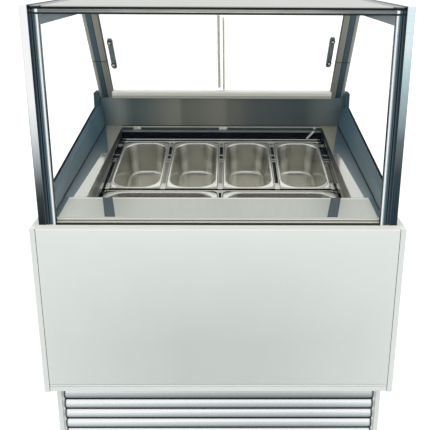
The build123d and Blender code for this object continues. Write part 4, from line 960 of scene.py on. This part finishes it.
def door_fixings():
    """Chrome caps on black washers where each pull handle goes through its door."""
    half_span, raised, cap_seat = 51.5 * MM, 8 * MM, 0.8 * MM
    # Radius and height
    washer, cap = Vector((9, 1.2)) * MM, Vector((4.8, 3.2)) * MM
    for side in ("left", "right"):
        pane = nodes[f"{side}_door_glass"].data
        front = max((face for face in pane.polygons if face.normal.y < -FACING), key=lambda face: face.area)
        out = front.normal
        up = Vector((1, 0, 0)).cross(out)
        up = up if up.z > 0 else -up
        low, high = corners(f"{side}_door_handle")
        handle_middle = (low + high) / 2
        on_glass = handle_middle + out * (front.center - handle_middle).dot(out)
        washers, caps = bmesh.new(), bmesh.new()
        for end in (-1, 1):
            spot = on_glass + up * (end * half_span + raised)
            dome(washers, spot, *washer, out)
            dome(caps, spot + out * cap_seat, *cap, out)
        piece(f"{side}_handle_washers", washers, Matrix(), rubber, f"{side}_door")
        piece(f"{side}_handle_caps", caps, Matrix(), bright, f"{side}_door")


def rear_fasteners():
    """Domed screws round the rear cover and the control panel."""
    inset, sunk, radius, head = 12 * MM, 0.4 * MM, 4 * MM, 1.2 * MM
    screws = bmesh.new()
    for name, across_count in (("rear_cover", 4), ("control_panel", 3)):
        low, high = corners(name)
        for step in range(across_count):
            across = low.x + inset + (high.x - low.x - 2 * inset) * step / (across_count - 1)
            for height in (low.z + inset, high.z - inset):
                dome(screws, (across, high.y - sunk, height), radius, head, (0, 1, 0))
    piece("rear_screws", screws, Matrix(), zinc, "cabinet")


def controller_face():
    """Display window and three keys in the recesses of the temperature controller."""
    bezel, gap, thick, sunk, rounding = 4 * MM, 0.4 * MM, 0.5 * MM, 0.4 * MM, 0.15 * MM
    low, high = corners("temperature_controller")
    centre = (low + high) / 2
    face = high.y - sunk
    width = high.x - low.x - 2 * bezel
    height = high.z - low.z - 2 * bezel
    window, keys = bmesh.new(), bmesh.new()
    spot = (centre.x - width / 6, face, centre.z)
    block(window, spot, (width / 2 - gap, thick, height / 2 - gap), rounding)
    for row in (-1, 0, 1):
        spot = (centre.x + width / 3, face, centre.z + row * height / 3)
        block(keys, spot, (height / 3 - 2 * gap, thick, height / 6 - gap), rounding)
    piece("controller_window", window, Matrix(), screen, "cabinet")
    piece("controller_keys", keys, Matrix(), key_grey, "cabinet")


pans()
frame_fittings()
deck_beads()
outlet_fittings()
clip_face()
wide_strip()
door_fixings()
rear_fasteners()
controller_face()


# Studio: a pale floor, soft light from above, and white behind the object

def white_backdrop(tree, shader, kinds):
    """A shader that some kinds of ray see as plain white, and other rays as itself."""
    path = tree.nodes.new("ShaderNodeLightPath")
    seen = path.outputs[kinds[0]]
    for kind in kinds[1:]:
        either = tree.nodes.new("ShaderNodeMath")
        either.operation = "MAXIMUM"
        tree.links.new(seen, either.inputs[0])
        tree.links.new(path.outputs[kind], either.inputs[1])
        seen = either.outputs[0]
    plain = tree.nodes.new("ShaderNodeEmission")
    mixer = tree.nodes.new("ShaderNodeMixShader")
    tree.links.new(seen, mixer.inputs[0])
    tree.links.new(shader, mixer.inputs[1])
    tree.links.new(plain.outputs[0], mixer.inputs[2])
    return mixer.outputs[0]


def floor(side, camera_glow):
    """Pale floor that takes the object's shadow; the camera sees the open floor as white."""
    bpy.ops.mesh.primitive_plane_add(size=side)
    plane = bpy.context.object
    plane.name = "floor"
    look = Look("floor", Roughness=0.9)
    look.set("Base Color", look.mix(grey(222), grey(228), look.noise((2, 2, 2))))
    camera_ray = look.add("ShaderNodeLightPath", "Is Camera Ray")
    glow = look.add("ShaderNodeEmission", i1=look.maths("MULTIPLY", camera_ray, camera_glow))
    lifted = look.add("ShaderNodeAddShader", i0=look.shader.outputs[0], i1=glow)
    look.show(white_backdrop(look.material.node_tree, lifted, ("Is Glossy Ray", "Is Transmission Ray")))
    plane.data.materials.append(look.material)


def world(strength):
    """Even white light from all round; the camera and reflections see plain white."""
    sky = bpy.data.worlds.new("studio")
    bpy.context.scene.world = sky
    sky.use_nodes = True
    tree = sky.node_tree
    light = tree.nodes["Background"]
    light.inputs["Color"].default_value = (1.0, 1.0, 1.0, 1.0)
    light.inputs["Strength"].default_value = strength
    kinds = ("Is Camera Ray", "Is Glossy Ray", "Is Transmission Ray")
    tree.links.new(white_backdrop(tree, light.outputs[0], kinds), tree.nodes["World Output"].inputs[0])


def soft_box(name, place, target, size, power):
    """A wide lamp that looks at a target and leaves no image in the metal."""
    lamp = bpy.data.lights.new(name, "AREA")
    lamp.shape = "RECTANGLE"
    lamp.size, lamp.size_y = size
    lamp.energy = power
    box = bpy.data.objects.new(name, lamp)
    bpy.context.collection.objects.link(box)
    box.location = place
    box.rotation_euler = (Vector(target) - Vector(place)).to_track_quat("-Z", "Y").to_euler()
    box.visible_glossy = False


floor(side=60, camera_glow=0.5)
world(strength=0.9)
soft_box("top_light", place=(0, -0.6, 3.4), target=(0, 0, 0.9), size=(2.6, 2.2), power=30)


# Camera

def camera(place, pitch, yaw, roll, lens, shift):
    """A camera that looks down by pitch, to the right by yaw and is turned by roll, in degrees."""
    pitch, yaw, roll = (math.radians(angle) for angle in (pitch, yaw, roll))
    ahead = Vector((math.sin(yaw) * math.cos(pitch), math.cos(yaw) * math.cos(pitch), -math.sin(pitch)))
    right = Vector((math.cos(yaw), -math.sin(yaw), 0))
    up = right.cross(ahead)
    across = right * math.cos(roll) + up * math.sin(roll)
    upright = up * math.cos(roll) - right * math.sin(roll)
    data = bpy.data.cameras.new("camera")
    data.lens = lens
    data.shift_x, data.shift_y = shift
    eye = bpy.data.objects.new("camera", data)
    bpy.context.collection.objects.link(eye)
    turn = Matrix((across, upright, -ahead)).transposed().to_4x4()
    eye.matrix_world = Matrix.Translation(place) @ turn
    bpy.context.scene.camera = eye


camera(
    place=(0.03048, -2.00442, 1.466), pitch=17.12, yaw=0.55, roll=0.32, lens=52.47,
    shift=(-0.0475, -0.1163),
)
bpy.context.scene.view_settings.view_transform = "Standard"
